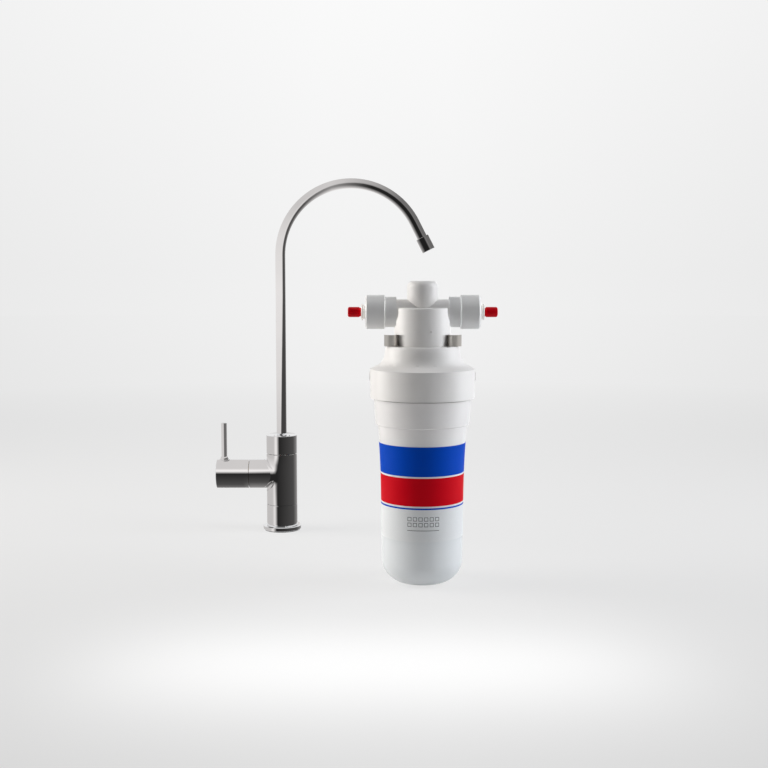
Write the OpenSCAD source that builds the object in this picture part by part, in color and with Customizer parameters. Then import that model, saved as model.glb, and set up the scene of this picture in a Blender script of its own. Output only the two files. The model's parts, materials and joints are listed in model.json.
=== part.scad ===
// Caravan water filter set: a twist-in cartridge in its head, and a gooseneck tap beside it.
// Millimetres, Z up. The origin is the centre of the cartridge's foot, the viewer is at -Y.

/* [Cartridge shell] */
// Outer radius of the shell just above its rounded foot
shell_r = 33.4; // [28:0.1:38]
// Height from the foot up to the seam under the skirt
shell_h = 131; // [122:1:180]
// Growth of the shell's radius from the foot up to the seam
shell_flare = 3.2; // [2:0.1:5]
// Radius of the rounded foot corner
foot_round = 19.5; // [10:0.5:22]
// Wall of the shell
shell_wall = 2.5; // [1.8:0.1:3.2]
// Length of shell that stands inside the skirt
shell_spigot_h = 18; // [10:0.5:19]

/* [Cartridge top] */
// Step from the shell out to the skirt
skirt_step = 3.2; // [2.4:0.1:5]
// How much the skirt draws in at its lower edge
skirt_taper = 1.4; // [0:0.1:1.6]
// Height of the skirt
skirt_h = 21.3; // [20:0.1:30]
// Step from the skirt in to the neck that enters the head
cart_neck_step = 2.4; // [1.5:0.1:4]
// Height of that neck
cart_neck_h = 20.2; // [19.5:0.1:26]
// Chamfer round the neck's upper edge
cart_neck_chamfer = 1.5; // [0.5:0.1:3]
// Thickness of the plate that closes the cartridge
cart_plate_t = 3; // [2:0.1:5]
// Radius of the stem that seals in the head
stem_r = 10; // [9.4:0.1:11]
// Radius of the outlet tip on the stem
tip_r = 3.4; // [3.2:0.1:3.6]
// Height of the outlet tip
tip_h = 9.5; // [8:0.5:10]
// Radius of the outlet bore through the stem
outlet_bore_r = 1.7; // [1.2:0.1:1.9]
// Width of a drive key on the stem
key_w = 3; // [2:0.1:4]
// Reach of a drive key beyond the stem
key_reach = 2.2; // [1.5:0.1:2.4]

/* [Twist lock] */
// Drop of the cartridge in a quarter turn
twist_drop = 9; // [6:0.5:10]
// Number of lock lugs
lug_count = 3; // [2:1:3]
// Radius of a lug
lug_r = 2.5; // [2:0.1:3]
// Reach of a lug beyond the neck
lug_reach = 2.9; // [2:0.1:4]
// Distance of the lugs below the neck's top
lug_drop = 4; // [3.8:0.1:5]
// Thickness of a helical ledge that carries a lug
ledge_t = 2.5; // [2:0.1:3]
// Angle that a ledge runs on behind a locked lug
ledge_lead = 8; // [5:1:12]
// Angle that a ledge runs along a lug's way
ledge_run = 72; // [60:1:76]

/* [Filter head] */
// Wall of the bell
bell_wall = 2; // [1.5:0.1:3]
// Gap between the skirt and the bell's rim
seam_gap = 0.5; // [0.4:0.1:1]
// Roof of the bell at its outer edge
bell_roof_t = 1.5; // [1.2:0.1:3]
// Reach of the chamfer on the bell's shoulder
bell_chamfer_in = 7.9; // [6:0.1:9]
// Height of that chamfer
bell_chamfer_h = 3.7; // [2.5:0.1:5]
// Height of the shoulder above the chamfer
shoulder_h = 14.8; // [13:0.1:18]
// Radius of the shoulder near its top
shoulder_r = 29.9; // [28:0.1:31]
// Radius of the waist that the wall clip grips
waist_r = 20.5; // [19.5:0.1:21.5]
// Height of the waist groove
waist_h = 9.6; // [8:0.1:11]
// Radius of the neck just above the waist
neck_r = 23.2; // [22.5:0.1:25]
// Radius of the neck at its top
neck_top_r = 22; // [20:0.05:22.4]
// Height of the neck above the waist
neck_h = 21.6; // [20:0.1:25]
// Half angle of the front that the waist groove leaves whole
waist_front = 39; // [30:1:45]
// Radius of the boss at its foot
boss_foot_r = 10.4; // [10.2:0.1:11]
// Radius of the boss above its taper
boss_r = 12.7; // [12:0.1:14]
// Height of the boss's taper
boss_taper_h = 7.5; // [5:0.1:9]
// Height of the boss
boss_h = 21.5; // [19:0.1:26]
// Rounding of the boss's top edge
boss_round = 5; // [2:0.1:6]
// Radius of a moulded pip on the neck
pip_r = 0.9; // [0.6:0.1:1.2]
// Distance of the pips from the middle of the neck
pip_x = 6; // [4:0.1:8]
// Height of the pips above the waist
pip_up = 2.8; // [2:0.1:6]
// Reach of a pip beyond the neck's foot
pip_reach = 0.3; // [0.2:0.1:0.6]
// Reach of the grip pads at the bell's sides
pad_reach = 0.5; // [0.3:0.1:0.8]
// Width of a grip pad
pad_w = 4; // [3:0.1:6]
// Height of a grip pad
pad_h = 6.5; // [4:0.1:8]

/* [Shut-off spool] */
// Radius of the spool's lower part
spool_low_r = 15; // [14.6:0.1:15.4]
// Radius of the spool's upper part
spool_up_r = 8; // [7.6:0.1:8.4]
// Height of the spool's lower part
spool_low_h = 28.2; // [27:0.1:30]
// Height of the spool's upper part
spool_up_h = 31; // [29:0.1:32]
// Distance from the ports' axis down to a seal of the spool
spool_seal_down = 7.5; // [7.2:0.1:8]
// Distance from the ports' axis up to a seal of the spool
spool_seal_up = 7.2; // [7:0.1:7.6]
// Distance of the spool's low seal below its step
spool_seal_in = 4; // [3:0.1:6]
// Radius of the channels to the ports
channel_r = 1.4; // [1:0.1:1.4]
// Distance of the inlet channel from the axis
channel_x = 5.2; // [5.2:0.1:5.6]
// Thickness of the retainer under the spool
retainer_t = 1.8; // [1.2:0.1:2.4]
// Width of the retainer that grips the hub
retainer_grip = 3; // [2:0.1:4]
// Wall of the hub round the spool
hub_wall = 2; // [1.6:0.1:2.6]

/* [Side ports] */
// Depth of the port axis below the neck's top
port_drop = 3.7; // [2:0.1:5]
// Radius of the arms
arm_r = 10.3; // [10:0.1:11.2]
// Distance from the axis to the end of an arm
arm_end = 21.4; // [21:0.1:24]
// Radius of the water passage in a port
passage_r = 3; // [2:0.1:3.4]
// Radius of the adaptor's spigot in the arm
spigot_r = 7; // [6:0.1:8]
// Length of that spigot
spigot_l = 9.7; // [8:0.1:10]
// Radius of the adaptor's ring
ring_r = 12.35; // [11.5:0.05:13.5]
// Length of the adaptor's ring
ring_l = 9.2; // [7:0.1:12]
// Length of the adaptor's sleeve inside the nut
sleeve_l = 12.2; // [11:0.1:14]
// Radius of that sleeve
sleeve_r = 11; // [10:0.1:11.5]
// Radius of the port nut
nut_r = 13.8; // [13.2:0.1:15]
// Length of the port nut
nut_l = 15.8; // [15.6:0.1:18]
// Chamfer at the outer end of the nut
nut_chamfer = 1.4; // [0.5:0.1:2]

/* [Push fitting] */
// Radius of the tube that the fitting takes
tube_r = 4; // [3.5:0.05:4.2]
// Depth of the tube stop inside the ring's outer face
tube_stop = 4; // [2:0.1:6]
// Radius of the chamber that holds the seal and the collet
chamber_r = 6.25; // [6.1:0.05:6.6]
// Depth of that chamber behind the ring's outer face
chamber_back = 2.9; // [-3:0.1:2.9]
// Length of the spacer ring
spacer_l = 2; // [1.5:0.1:3]
// Wall of the collet
collet_wall = 1.6; // [1.2:0.1:1.6]
// Travel of the collet when it is pressed
collet_travel = 1.5; // [1:0.1:1.6]
// Thickness of the collet's lip
collet_lip = 1.5; // [1:0.1:2]
// Radius of the collet's lip
collet_lip_r = 6.6; // [6.2:0.1:7.5]
// Length of the red plug that stands out of the collet
plug_out = 10.9; // [8:0.1:16]
// Extra radius of the plug's head
plug_head = 0.15; // [0.05:0.05:0.3]
// Width of the groove behind the plug's head
plug_groove = 1.2; // [0.8:0.1:2]
// Section radius of the tube seal
tube_seal = 0.98; // [0.8:0.02:1]

/* [Wall clip] */
// Thickness of the clip's spring steel
clip_t = 1.2; // [0.8:0.1:1.4]
// Gap above and below the clip in the waist
clip_play = 0.2; // [0.1:0.05:0.5]
// Radius of the rolled lips, to the middle of the steel
lip_r = 5.2; // [4:0.1:6]
// Angle from the front where the jaws turn into the lips
jaw_front = 75; // [68:1:80]
// Distance from the middle to the sides of the back web
web_half = 9.95; // [8:0.05:12]
// Sweep of a rolled lip
lip_sweep = 205; // [170:5:230]
// Room between the waist and the clip's back web
web_gap = 3.1; // [2.5:0.1:5]
// Corner radius of the back web, to the middle of the steel
web_corner = 1.95; // [1.5:0.05:2.5]
// Radius of the wall screw's hole
screw_hole_r = 2.25; // [1.5:0.05:3]

/* [Label] */
// Height of the label's lower edge
label_z = 39.7; // [25:0.1:45]
// Height of the label
label_h = 77.1; // [60:0.1:80]
// Thickness of the label
label_t = 0.2; // [0.1:0.05:0.4]
// Gap in the label at the back
label_gap = 14; // [6:1:30]
// Thickness of a printed band
ink_t = 0.06; // [0.04:0.01:0.1]
// Height of the blue band
blue_h = 24; // [18:0.1:28]
// Height of the red band
red_h = 22.6; // [18:0.1:28]
// White stripe between the bands
stripe_h = 1.4; // [1:0.1:3]
// Height of the blue line under the red band
line_h = 1.3; // [1:0.1:2]

/* [Filter media] */
// Radius of the carbon block
block_r = 25.5; // [20:0.1:26]
// Radius of the block's bore
block_bore = 7; // [5:0.1:9]
// Height of the block's foot above the floor of the shell
media_lift = 17.5; // [14:0.1:20]
// Length of the shell that the carbon block leaves free
block_room = 19; // [17:0.5:40]
// Thickness of the prefilter wrap
wrap_t = 1; // [0.6:0.1:1.6]
// Wall of the core tube
core_wall = 1.2; // [0.8:0.1:1.6]
// Plate of an end cap
cap_t = 3; // [2:0.1:4]
// Rim of an end cap along the block
cap_rim = 4; // [2:0.1:6]
// Thickness of the seal on the upper end cap
block_seal_t = 1.5; // [1:0.1:2]
// Radius of the outlet tube in the cartridge
outlet_tube_r = 5; // [4.4:0.1:5.2]

/* [Tap place] */
// Tap axis to the side of the filter, to the left when negative
tap_x = -132.3; // [-180:0.1:-110]
// Tap axis behind the filter
tap_y = 198; // [90:1:240]

/* [Tap body] */
// Thickness of the gasket under the flange
gasket_t = 0.8; // [0.6:0.1:2]
// Radius of the base flange
flange_r = 18.8; // [18:0.05:25]
// Thickness of the base flange
flange_t = 4.2; // [3:0.1:6]
// How far the base sleeve stands proud of the body
base_proud = 0.1; // [0:0.05:1]
// Height of the base sleeve
base_h = 20.7; // [14:0.1:22]
// Radius of the tap's body
body_r = 15.1; // [14.7:0.1:15.6]
// Height of the tap's body above the base sleeve
body_h = 50.1; // [50:0.1:58]
// Radius of the body's spigot through the base
base_spigot_r = 9; // [8:0.1:10]
// Radius of the threaded hole that takes the tap's tail
tail_hole_r = 5.5; // [4.5:0.1:5.8]
// Depth of that threaded hole
tail_hole_h = 14; // [10:0.1:16]
// Radius of the water channels in the body
tap_channel_r = 1.8; // [1.4:0.1:2]
// Bevel on the chrome edges at a seam
edge_bevel = 0.35; // [0.2:0.05:0.6]
// Gap at a seam between two chrome pieces
chrome_seam = 0.1; // [0.05:0.05:0.2]

/* [Side barrel] */
// Height of the barrel's axis above the base sleeve
barrel_up = 30.1; // [30:0.1:34]
// Radius of the barrel
barrel_r = 14.3; // [13.6:0.05:14.4]
// Distance from the tap's axis to the barrel's seam
barrel_l = 31.7; // [31:0.1:38]
// Distance from the seam to the end of the lever barrel
lever_barrel_l = 32.5; // [28:0.1:40]
// Rounding at the end of the lever barrel
lever_barrel_round = 0.9; // [0.5:0.1:2]
// Gap at the turning seam of the lever barrel
lever_seam = 0.35; // [0.3:0.05:0.6]
// Depth of the lever barrel's recess over the gland nut
hub_in = 12; // [10:0.1:14]
// Distance from the recess to the lever barrel's screw
lever_screw_in = 3.5; // [3:0.1:5]
// Radius of the lever pin
pin_r = 2.86; // [2.2:0.02:3.4]
// Distance from the end of the barrel to the lever pin
pin_in = 7.4; // [7:0.1:10]
// Height of the lever pin's top above the barrel's axis
pin_h = 50.8; // [40:0.1:70]
// Radius of the ferrule's foot
ferrule_r = 4.1; // [3.6:0.1:5]
// Height of the ferrule
ferrule_h = 2.4; // [1.5:0.1:4]

/* [Tap valve] */
// Radius of the valve bore in the barrel
valve_bore_r = 10.5; // [10:0.1:10.8]
// Distance from the tap's axis to the bottom of the valve bore
valve_bore_x = 11.5; // [11.3:0.1:12]
// Wall of the valve housing round the discs
housing_wall = 2.4; // [2:0.1:2.8]
// Thickness of the valve's rubber seal
valve_seal_t = 2.2; // [1.8:0.1:2.6]
// Thickness of a ceramic disc
disc_t = 3; // [2.5:0.1:3.2]
// Radius of the ports in the ceramic discs
disc_port_r = 1.8; // [1.2:0.1:2]
// Distance of those ports from the valve's axis
disc_port_off = 3.2; // [3:0.1:4]
// Radius of the valve stem
valve_stem_r = 3.5; // [3:0.1:3.8]
// Reach of the valve stem into the lever barrel
valve_stem_out = 19; // [17:0.1:22]
// Radius of the gland nut's corners
gland_r = 11.6; // [10.6:0.1:11.8]
// Length of the gland nut outside the barrel
gland_l = 3.2; // [2.5:0.1:4]
// Length of the gland nut's thread inside the barrel
gland_in = 2.5; // [2:0.1:3]

/* [Spout] */
// Radius of the spout tube
spout_r = 4.9; // [4:0.05:5.5]
// Wall of the spout tube
spout_wall = 1; // [0.8:0.1:1.4]
// Height where the straight tube ends and the arch begins
arch_z = 270.5; // [220:0.1:320]
// Radius of the arch to the middle of the tube
arch_r = 69.1; // [50:0.1:90]
// Sweep of the arch
arch_sweep = 153; // [140:1:180]
// Straight end of the spout tube
spout_end = 18.8; // [6:0.1:30]
// Radius of the aerator sleeve
aerator_r = 6.35; // [6:0.05:8]
// Length of the aerator sleeve
aerator_l = 11.5; // [9:0.1:16]
// Height of the swivel collar
collar_h = 18.2; // [15:0.1:26]
// Thickness of the washer under the swivel collar
washer_t = 0.4; // [0.3:0.05:1]
// Radius of the spout's spigot in the body
spout_spigot_r = 9; // [8.4:0.1:9.1]
// Depth of that spigot in the body
spout_spigot_h = 12.8; // [12:0.1:13]
// Radius of the screw that keeps the spout in the body
keeper_r = 1.4; // [1.1:0.1:1.5]

/* [Fits] */
// Radial clearance of a running fit
run_gap = 0.06; // [0.02:0.01:0.09]
// Clearance between fixed pieces
seat_gap = 0.03; // [0.01:0.01:0.05]
// Clearance between the lugs and what they pass
lug_gap = 0.4; // [0.3:0.05:0.6]
// Section radius of the O-rings on stem and spool
seal = 0.75; // [0.7:0.05:0.8]

/* [Hidden] */

$fn = 96;
eps = 0.01;
far = 400;
inlet = -1;
outlet = 1;
round_step = 10;
flare_steps = 10;
ledge_steps = 14;

white = [0.93, 0.93, 0.92];
nut_white = [0.88, 0.88, 0.87];
blue = [0.02, 0.2, 0.68];
red = [0.8, 0.02, 0.06];
plug_red = [0.62, 0.01, 0.05];
steel = [0.7, 0.69, 0.66];
chrome = [0.78, 0.78, 0.8];
brass_yellow = [0.78, 0.6, 0.28];
rubber_black = [0.08, 0.08, 0.08];
carbon_black = [0.12, 0.12, 0.12];
felt_white = [0.9, 0.9, 0.86];
nylon = [0.85, 0.85, 0.8];
ceramic_white = [0.95, 0.94, 0.9];

// Cartridge heights and radii
shell_top_r = shell_r + shell_flare;
skirt_r = shell_top_r + skirt_step;
skirt_top_z = shell_h + skirt_h;
cart_neck_r = skirt_r - cart_neck_step;
cart_top_z = skirt_top_z + cart_neck_h;
cart_in_r = shell_top_r - shell_wall + seat_gap;
cart_ceiling_z = cart_top_z - cart_plate_t;
lug_z = cart_top_z - lug_drop;
lug_slope = atan(twist_drop / (cart_neck_r * PI / 2));

// Head heights and radii, from the bell's rim up
bell_z = skirt_top_z + seam_gap;
bell_in_r = cart_neck_r + lug_reach + lug_gap;
bell_r = bell_in_r + bell_wall;
ceiling_gap = 2.3;
ceiling_z = cart_top_z + ceiling_gap;
bell_top_z = ceiling_z + bell_roof_t;
chamfer_top_z = bell_top_z + bell_chamfer_h;
chamfer_top_r = bell_r - bell_chamfer_in;
waist_z = chamfer_top_z + shoulder_h;
waist_top_z = waist_z + waist_h;
neck_top_z = waist_top_z + neck_h;
boss_top_z = neck_top_z + boss_h;
port_z = neck_top_z - port_drop;
shoulder_wall = 2;

// Spool and stem heights
retainer_gap = 0.2;
spool_z = ceiling_z + retainer_t + retainer_gap;
spool_step_z = spool_z + spool_low_h;
spool_top_z = spool_step_z + spool_up_h;
spool_top_gap = 0.4;
key_bite = 1.5;
key_top_z = spool_z + twist_drop + key_bite;
seal_pitch = 4;
stem_seal_z = key_top_z + 2.6;
stem_top_z = stem_seal_z + seal_pitch + 3.2;
chamber_gap = 1.9;
socket_top_z = stem_top_z + chamber_gap;
tip_top_z = stem_top_z + tip_h;
tip_seal = 0.5;
tip_seal_z = stem_top_z + tip_h / 2;
tip_bore_top_z = tip_top_z + 1;
key_gap = 0.4;
retainer_in_r = stem_r + key_reach + key_gap;
retainer_out_r = spool_low_r + retainer_grip;
hub_r = retainer_out_r + hub_wall;

// Distances along a side port, measured out from the filter's axis
spot_gap = 0.3;
socket_in = arm_end - spigot_l - 0.2;
ring_face = arm_end + ring_l;
nut_gap = 0.3;
nut_in = ring_face + nut_gap;
nut_face = nut_in + nut_l;
nut_thread_gap = 0.05;
sleeve_end = ring_face + sleeve_l;
nut_wall_in = sleeve_end + 0.2;
tube_stop_x = ring_face - tube_stop;
chamber_x = ring_face + chamber_back;
oring_x = chamber_x + tube_seal + 0.1;
spacer_x = oring_x + tube_seal + 0.15;
collet_in = spacer_x + spacer_l + collet_travel + 0.6;
collet_bore_r = tube_r + run_gap + 0.04;
collet_r = collet_bore_r + collet_wall;
lip_gap = 0.2;
collet_lip_x = nut_face + collet_travel + lip_gap;
collet_face = collet_lip_x + collet_lip;
collet_flare_r = chamber_r - 0.1;
collet_flare_end = nut_wall_in - 0.6;
plug_in = tube_stop_x + 0.3;
plug_face = collet_face + plug_out;

// Media heights
block_z = shell_wall + media_lift;
block_h = shell_h - block_room;
block_top_z = block_z + block_h;
wrap_r = block_r + wrap_t;
cap_r = wrap_r + 1;
cap_top_z = block_top_z + cap_t;
outlet_tube_z = cap_top_z + block_seal_t;

// Label heights
label_top_z = label_z + label_h;
blue_top_z = label_top_z - 0.3;
blue_z = blue_top_z - blue_h;
red_z = blue_z - stripe_h - red_h;
line_z = red_z - stripe_h - line_h;
glue_t = 0.05;
ink_lift = glue_t + label_t + glue_t;

// Clip
clip_r = waist_r + 0.1;
clip_mid_r = clip_r + clip_t / 2;
clip_z = waist_z + clip_play;
clip_h = waist_h - 2 * clip_play;
web_y = waist_r + web_gap + clip_t / 2;
clip_step = 6;
lip_x = clip_mid_r + lip_r;
bend_y = sqrt(pow(clip_mid_r + web_corner, 2) - pow(web_half + web_corner, 2));
jaw_back = atan2(bend_y, web_half + web_corner);

// Tap heights
flange_top_z = gasket_t + flange_t;
base_top_z = flange_top_z + base_h;
body_z = base_top_z + chrome_seam;
body_top_z = body_z + body_h;
barrel_z = base_top_z + barrel_up;
collar_z = body_top_z + washer_t;
collar_top_z = collar_z + collar_h;
collar_roof_t = 3;
spigot_z = body_top_z - spout_spigot_h;
spigot_top_z = collar_top_z - collar_roof_t - 0.1;
socket_floor_z = spigot_z - 0.2;
tube_z = body_top_z - 8;
keeper_z = body_top_z - 3.2;
keeper_groove = 1.6;
spout_seal = 0.6;
spout_seal_z = spigot_z + 2;
spout_seal_pitch = 3.4;

// Valve distances along the barrel, measured out from the tap's axis
seal_x = valve_bore_x;
fixed_x = seal_x + valve_seal_t;
turning_x = fixed_x + disc_t;
driver_x = turning_x + disc_t;
driver_l = 3;
housing_x = valve_bore_x + 0.2;
housing_end = barrel_l - gland_in;
housing_r = valve_bore_r - 0.1;
disc_r = housing_r - housing_wall;
gland_neck_r = valve_stem_r + 1.6;
valve_stem_end = barrel_l + valve_stem_out;
lever_x = barrel_l + lever_seam;
lever_end = barrel_l + lever_barrel_l;
lever_in_r = gland_r + 0.5;
hub_x = barrel_l + hub_in;
pin_x = lever_end - pin_in;

// Seals, screws and fine fits
spool_seals = [port_z - spool_seal_down, port_z + spool_seal_up];
spool_low_seal_z = spool_step_z - spool_seal_in;
port_seal = 0.8;
port_seal_x = arm_end - spigot_l / 2;
lid_seat_z = shell_h + shell_spigot_h + seat_gap;
inlet_hole_r = 1.1;
stem_seals = [stem_seal_z, stem_seal_z + seal_pitch];
tip_sizing = 0.02;
aerator_grip = 3;
aerator_wall = 0.9;
pin_seat_r = pin_r - 0.6;
pin_foot = 4;
lever_screw_r = 1.5;
lever_screw_x = hub_x + lever_screw_in;
stem_seal_section = 0.5;
stem_seal_x = barrel_l + gland_l / 2;
base_r = body_r + base_proud;

// Radius of the shell at a height, a gentle draft that opens towards the seam
function shell_radius(z) =
    shell_r + shell_flare * pow(max(0, (z - foot_round) / (shell_h - foot_round)), 4);

// Points along the shell's side, grown outwards by a distance
function shell_side(z0, z1, grow) =
    [for (i = [0 : flare_steps]) let (z = z0 + (z1 - z0) * i / flare_steps)
        [shell_radius(z) + grow, z]];

// Points round the outer edge of a rod's far end
function rounded_end(r, z, edge) =
    [for (turn = [0 : round_step : 90]) [r - edge + edge * cos(turn), z - edge + edge * sin(turn)]];

function reversed(list) = [for (i = [len(list) - 1 : -1 : 0]) list[i]];

// A round piece turned from its half outline of radius and height
module turned(points) {
    rotate_extrude()
        polygon(points);
}

// A tube between two heights
module tube(r_out, r_in, z0, z1) {
    translate([0, 0, z0])
        difference() {
            cylinder(r = r_out, h = z1 - z0);
            translate([0, 0, -eps])
                cylinder(r = r_in, h = z1 - z0 + 2 * eps);
        }
}

// A rod between two heights
module rod(r, z0, z1) {
    translate([0, 0, z0])
        cylinder(r = r, h = z1 - z0);
}

module oring(mid_r, section, z) {
    translate([0, 0, z])
        rotate_extrude()
            translate([mid_r, 0])
                circle(r = section);
}

// Cut that seats an O-ring in a shaft of radius r
module oring_groove(r, section, z) {
    half = section + 0.15;
    tube(r + 1, r + run_gap - 2 * section - seat_gap, z - half, z + half);
}

// Middle radius of an O-ring that just clears the bore round a shaft of radius r
function oring_mid(r, section) = r + run_gap - seat_gap - section;

// Places a piece along a side port, its own Z pointing out from the filter
module on_port(side) {
    translate([0, 0, port_z])
        rotate([0, side * 90, 0])
            children();
}

module at_tap() {
    translate([tap_x, tap_y, 0])
        children();
}

// Places a piece along the side barrel: its Z points left from the tap and its X points up
module on_barrel() {
    at_tap()
        translate([0, 0, barrel_z])
            rotate([0, -90, 0])
                children();
}

// Filter head

module head_outline() {
    polygon([
        [0, bell_z], [bell_r, bell_z], [bell_r, bell_top_z], [chamfer_top_r, chamfer_top_z],
        [shoulder_r + 2, chamfer_top_z + shoulder_h * 0.3], [shoulder_r, waist_z - 1.2],
        [shoulder_r - 1, waist_z], [neck_r, waist_z], [neck_r, waist_top_z],
        [neck_top_r + 0.2, neck_top_z - 0.8], [neck_top_r - 0.4, neck_top_z],
        [boss_foot_r, neck_top_z], [boss_r, neck_top_z + boss_taper_h],
        [boss_r, boss_top_z - boss_round], [0, boss_top_z - boss_round]
    ]);
    translate([boss_r - boss_round, boss_top_z - boss_round])
        intersection() {
            circle(r = boss_round);
            square(boss_round);
        }
    translate([0, boss_top_z - boss_round])
        square([boss_r - boss_round, boss_round]);
}

// Room in the bell for the cartridge's neck, with a moulding pocket round the hub
module bell_room() {
    pocket_top = waist_z - 3.6;
    turned([
        [0, bell_z - 1], [bell_in_r, bell_z - 1], [bell_in_r, ceiling_z], [0, ceiling_z]
    ]);
    turned([
        [hub_r, ceiling_z - eps], [chamfer_top_r - shoulder_wall, ceiling_z - eps],
        [shoulder_r - shoulder_wall, pocket_top - 4], [shoulder_r - shoulder_wall - 1, pocket_top],
        [hub_r, pocket_top]
    ]);
}

module spool_room() {
    rod(retainer_out_r + seat_gap, ceiling_z - eps, ceiling_z + retainer_t + seat_gap);
    rod(spool_low_r + run_gap, ceiling_z, spool_step_z + 0.1);
    rod(spool_up_r + run_gap, spool_step_z, spool_top_z + spool_top_gap);
}

// Groove for the wall clip, open at the sides and the back
module clip_groove() {
    rotate([0, 0, waist_front - 90])
        rotate_extrude(angle = 360 - 2 * waist_front)
            translate([waist_r, waist_z])
                square([shoulder_r, waist_h]);
}

// One helical ledge under a lug, a solid of radial slices
module ledge(turn) {
    r_in = cart_neck_r + lug_gap;
    r_out = bell_in_r - seat_gap;
    top_z = lug_z - (lug_r + lug_gap / 2) / cos(lug_slope);
    angles = [for (i = [0 : ledge_steps]) ledge_lead - (ledge_lead + ledge_run) * i / ledge_steps];
    slices = [for (a = angles) let (z = top_z + a * twist_drop / 90, s = sin(a), c = cos(a))
        [[r_in * c, r_in * s, z - ledge_t], [r_out * c, r_out * s, z - ledge_t],
         [r_out * c, r_out * s, z], [r_in * c, r_in * s, z]]];
    points = [for (slice = slices) each slice];
    sides = [for (i = [0 : ledge_steps - 1], k = [0 : 3]) let (a = 4 * i + k, b = 4 * i + (k + 1) % 4)
        each [[a, b, b + 4], [a, b + 4, a + 4]]];
    last = 4 * ledge_steps;
    ends = [[3, 2, 1], [3, 1, 0], [last, last + 1, last + 2], [last, last + 2, last + 3]];
    rotate([0, 0, turn])
        polyhedron(points = points, faces = concat(sides, ends));
}

module head_body() {
    color(white)
        difference() {
            union() {
                rotate_extrude()
                    head_outline();
                on_port(outlet)
                    rod(arm_r, -arm_end, arm_end);
                for (x = [-pip_x, pip_x])
                    translate([x, 0, waist_top_z + pip_up])
                        rotate([90, 0, 0])
                            cylinder(r = pip_r, h = sqrt(pow(neck_r, 2) - pow(x, 2)) + pip_reach);
                intersection() {
                    translate([-bell_r - pad_reach, -pad_w / 2, bell_top_z - 3 - pad_h])
                        cube([2 * (bell_r + pad_reach), pad_w, pad_h]);
                    rod(bell_r + pad_reach, bell_z, bell_top_z);
                }
            }
            bell_room();
            spool_room();
            clip_groove();
            for (side = [inlet, outlet])
                on_port(side) {
                    rod(passage_r, 0, arm_end);
                    rod(spigot_r + seat_gap, socket_in, arm_end + 1);
                    rod(ring_r + spot_gap, arm_end, ring_face);
                }
        }
}

module lock_ledges() {
    color(white)
        for (i = [0 : lug_count - 1])
            ledge(i * 360 / lug_count);
}

module shutoff_spool() {
    color(nylon)
        difference() {
            union() {
                rod(spool_low_r, spool_z, spool_step_z);
                rod(spool_up_r, spool_step_z - eps, spool_top_z);
            }
            rod(stem_r + run_gap, spool_z - 1, socket_top_z);
            rod(tip_r + run_gap, socket_top_z - 1, tip_bore_top_z);
            rod(channel_r, tip_bore_top_z - 1, port_z);
            translate([-channel_x, 0, 0])
                rod(channel_r, socket_top_z - 1, port_z);
            translate([0, 0, port_z]) {
                rotate([0, 90, 0])
                    cylinder(r = channel_r, h = spool_up_r + 1);
                translate([-channel_x, 0, 0])
                    rotate([0, -90, 0])
                        cylinder(r = channel_r, h = spool_up_r);
            }
            translate([-(key_w / 2 + key_gap), -(stem_r + key_reach + key_gap), spool_z - 1])
                cube([key_w + 2 * key_gap, 2 * (stem_r + key_reach + key_gap), key_top_z - spool_z + 1.5]);
            for (z = spool_seals)
                oring_groove(spool_up_r, seal, z);
            oring_groove(spool_low_r, seal, spool_low_seal_z);
        }
}

module spool_orings() {
    color(rubber_black) {
        for (z = spool_seals)
            oring(oring_mid(spool_up_r, seal), seal, z);
        oring(oring_mid(spool_low_r, seal), seal, spool_low_seal_z);
    }
}

module spool_retainer() {
    color(nylon)
        tube(retainer_out_r, retainer_in_r, ceiling_z, ceiling_z + retainer_t);
}

// Points along a bend of the clip's strip, set off to the left of the way it runs
function bend(centre, r, from, to, off) =
    let (n = ceil(abs(to - from) / clip_step), grown = to > from ? r - off : r + off)
    [for (i = [0 : n]) let (a = from + (to - from) * i / n)
        centre + grown * [cos(a), sin(a)]];

// Half of the strip from the back web to a lip: web corner, bend to the waist, jaw, rolled lip
function clip_side(off) = concat(
    bend([web_half - web_corner, web_y - web_corner], web_corner, 90, 0, off),
    bend([web_half + web_corner, bend_y], web_corner, 180, 180 + jaw_back, off),
    bend([0, 0], clip_mid_r, jaw_back, jaw_front - 90, off),
    bend(lip_x * [sin(jaw_front), -cos(jaw_front)], lip_r, jaw_front + 90, jaw_front + 90 + lip_sweep, off)
);

function flipped(list) = [for (p = list) [-p[0], p[1]]];

module wall_clip() {
    color(steel)
        translate([0, 0, clip_z])
            difference() {
                linear_extrude(height = clip_h)
                    polygon(concat(
                        clip_side(clip_t / 2), reversed(clip_side(-clip_t / 2)),
                        flipped(clip_side(-clip_t / 2)), reversed(flipped(clip_side(clip_t / 2)))
                    ));
                translate([0, web_y + clip_t, clip_h / 2])
                    rotate([90, 0, 0])
                        cylinder(r = screw_hole_r, h = 2 * clip_t);
            }
}

// Side ports

module adaptor(side) {
    color(nut_white)
        on_port(side)
            difference() {
                union() {
                    rod(spigot_r, arm_end - spigot_l, arm_end + 1);
                    rod(ring_r, arm_end + seat_gap, ring_face);
                    rod(sleeve_r, ring_face - 1, sleeve_end);
                }
                rod(passage_r, 0, tube_stop_x + 1);
                rod(collet_bore_r, tube_stop_x, sleeve_end + 1);
                rod(chamber_r, chamber_x, sleeve_end + 1);
                oring_groove(spigot_r, port_seal, port_seal_x);
            }
}

module port_seals() {
    color(rubber_black)
        for (side = [inlet, outlet])
            on_port(side)
                oring(oring_mid(spigot_r, port_seal), port_seal, port_seal_x);
}

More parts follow.
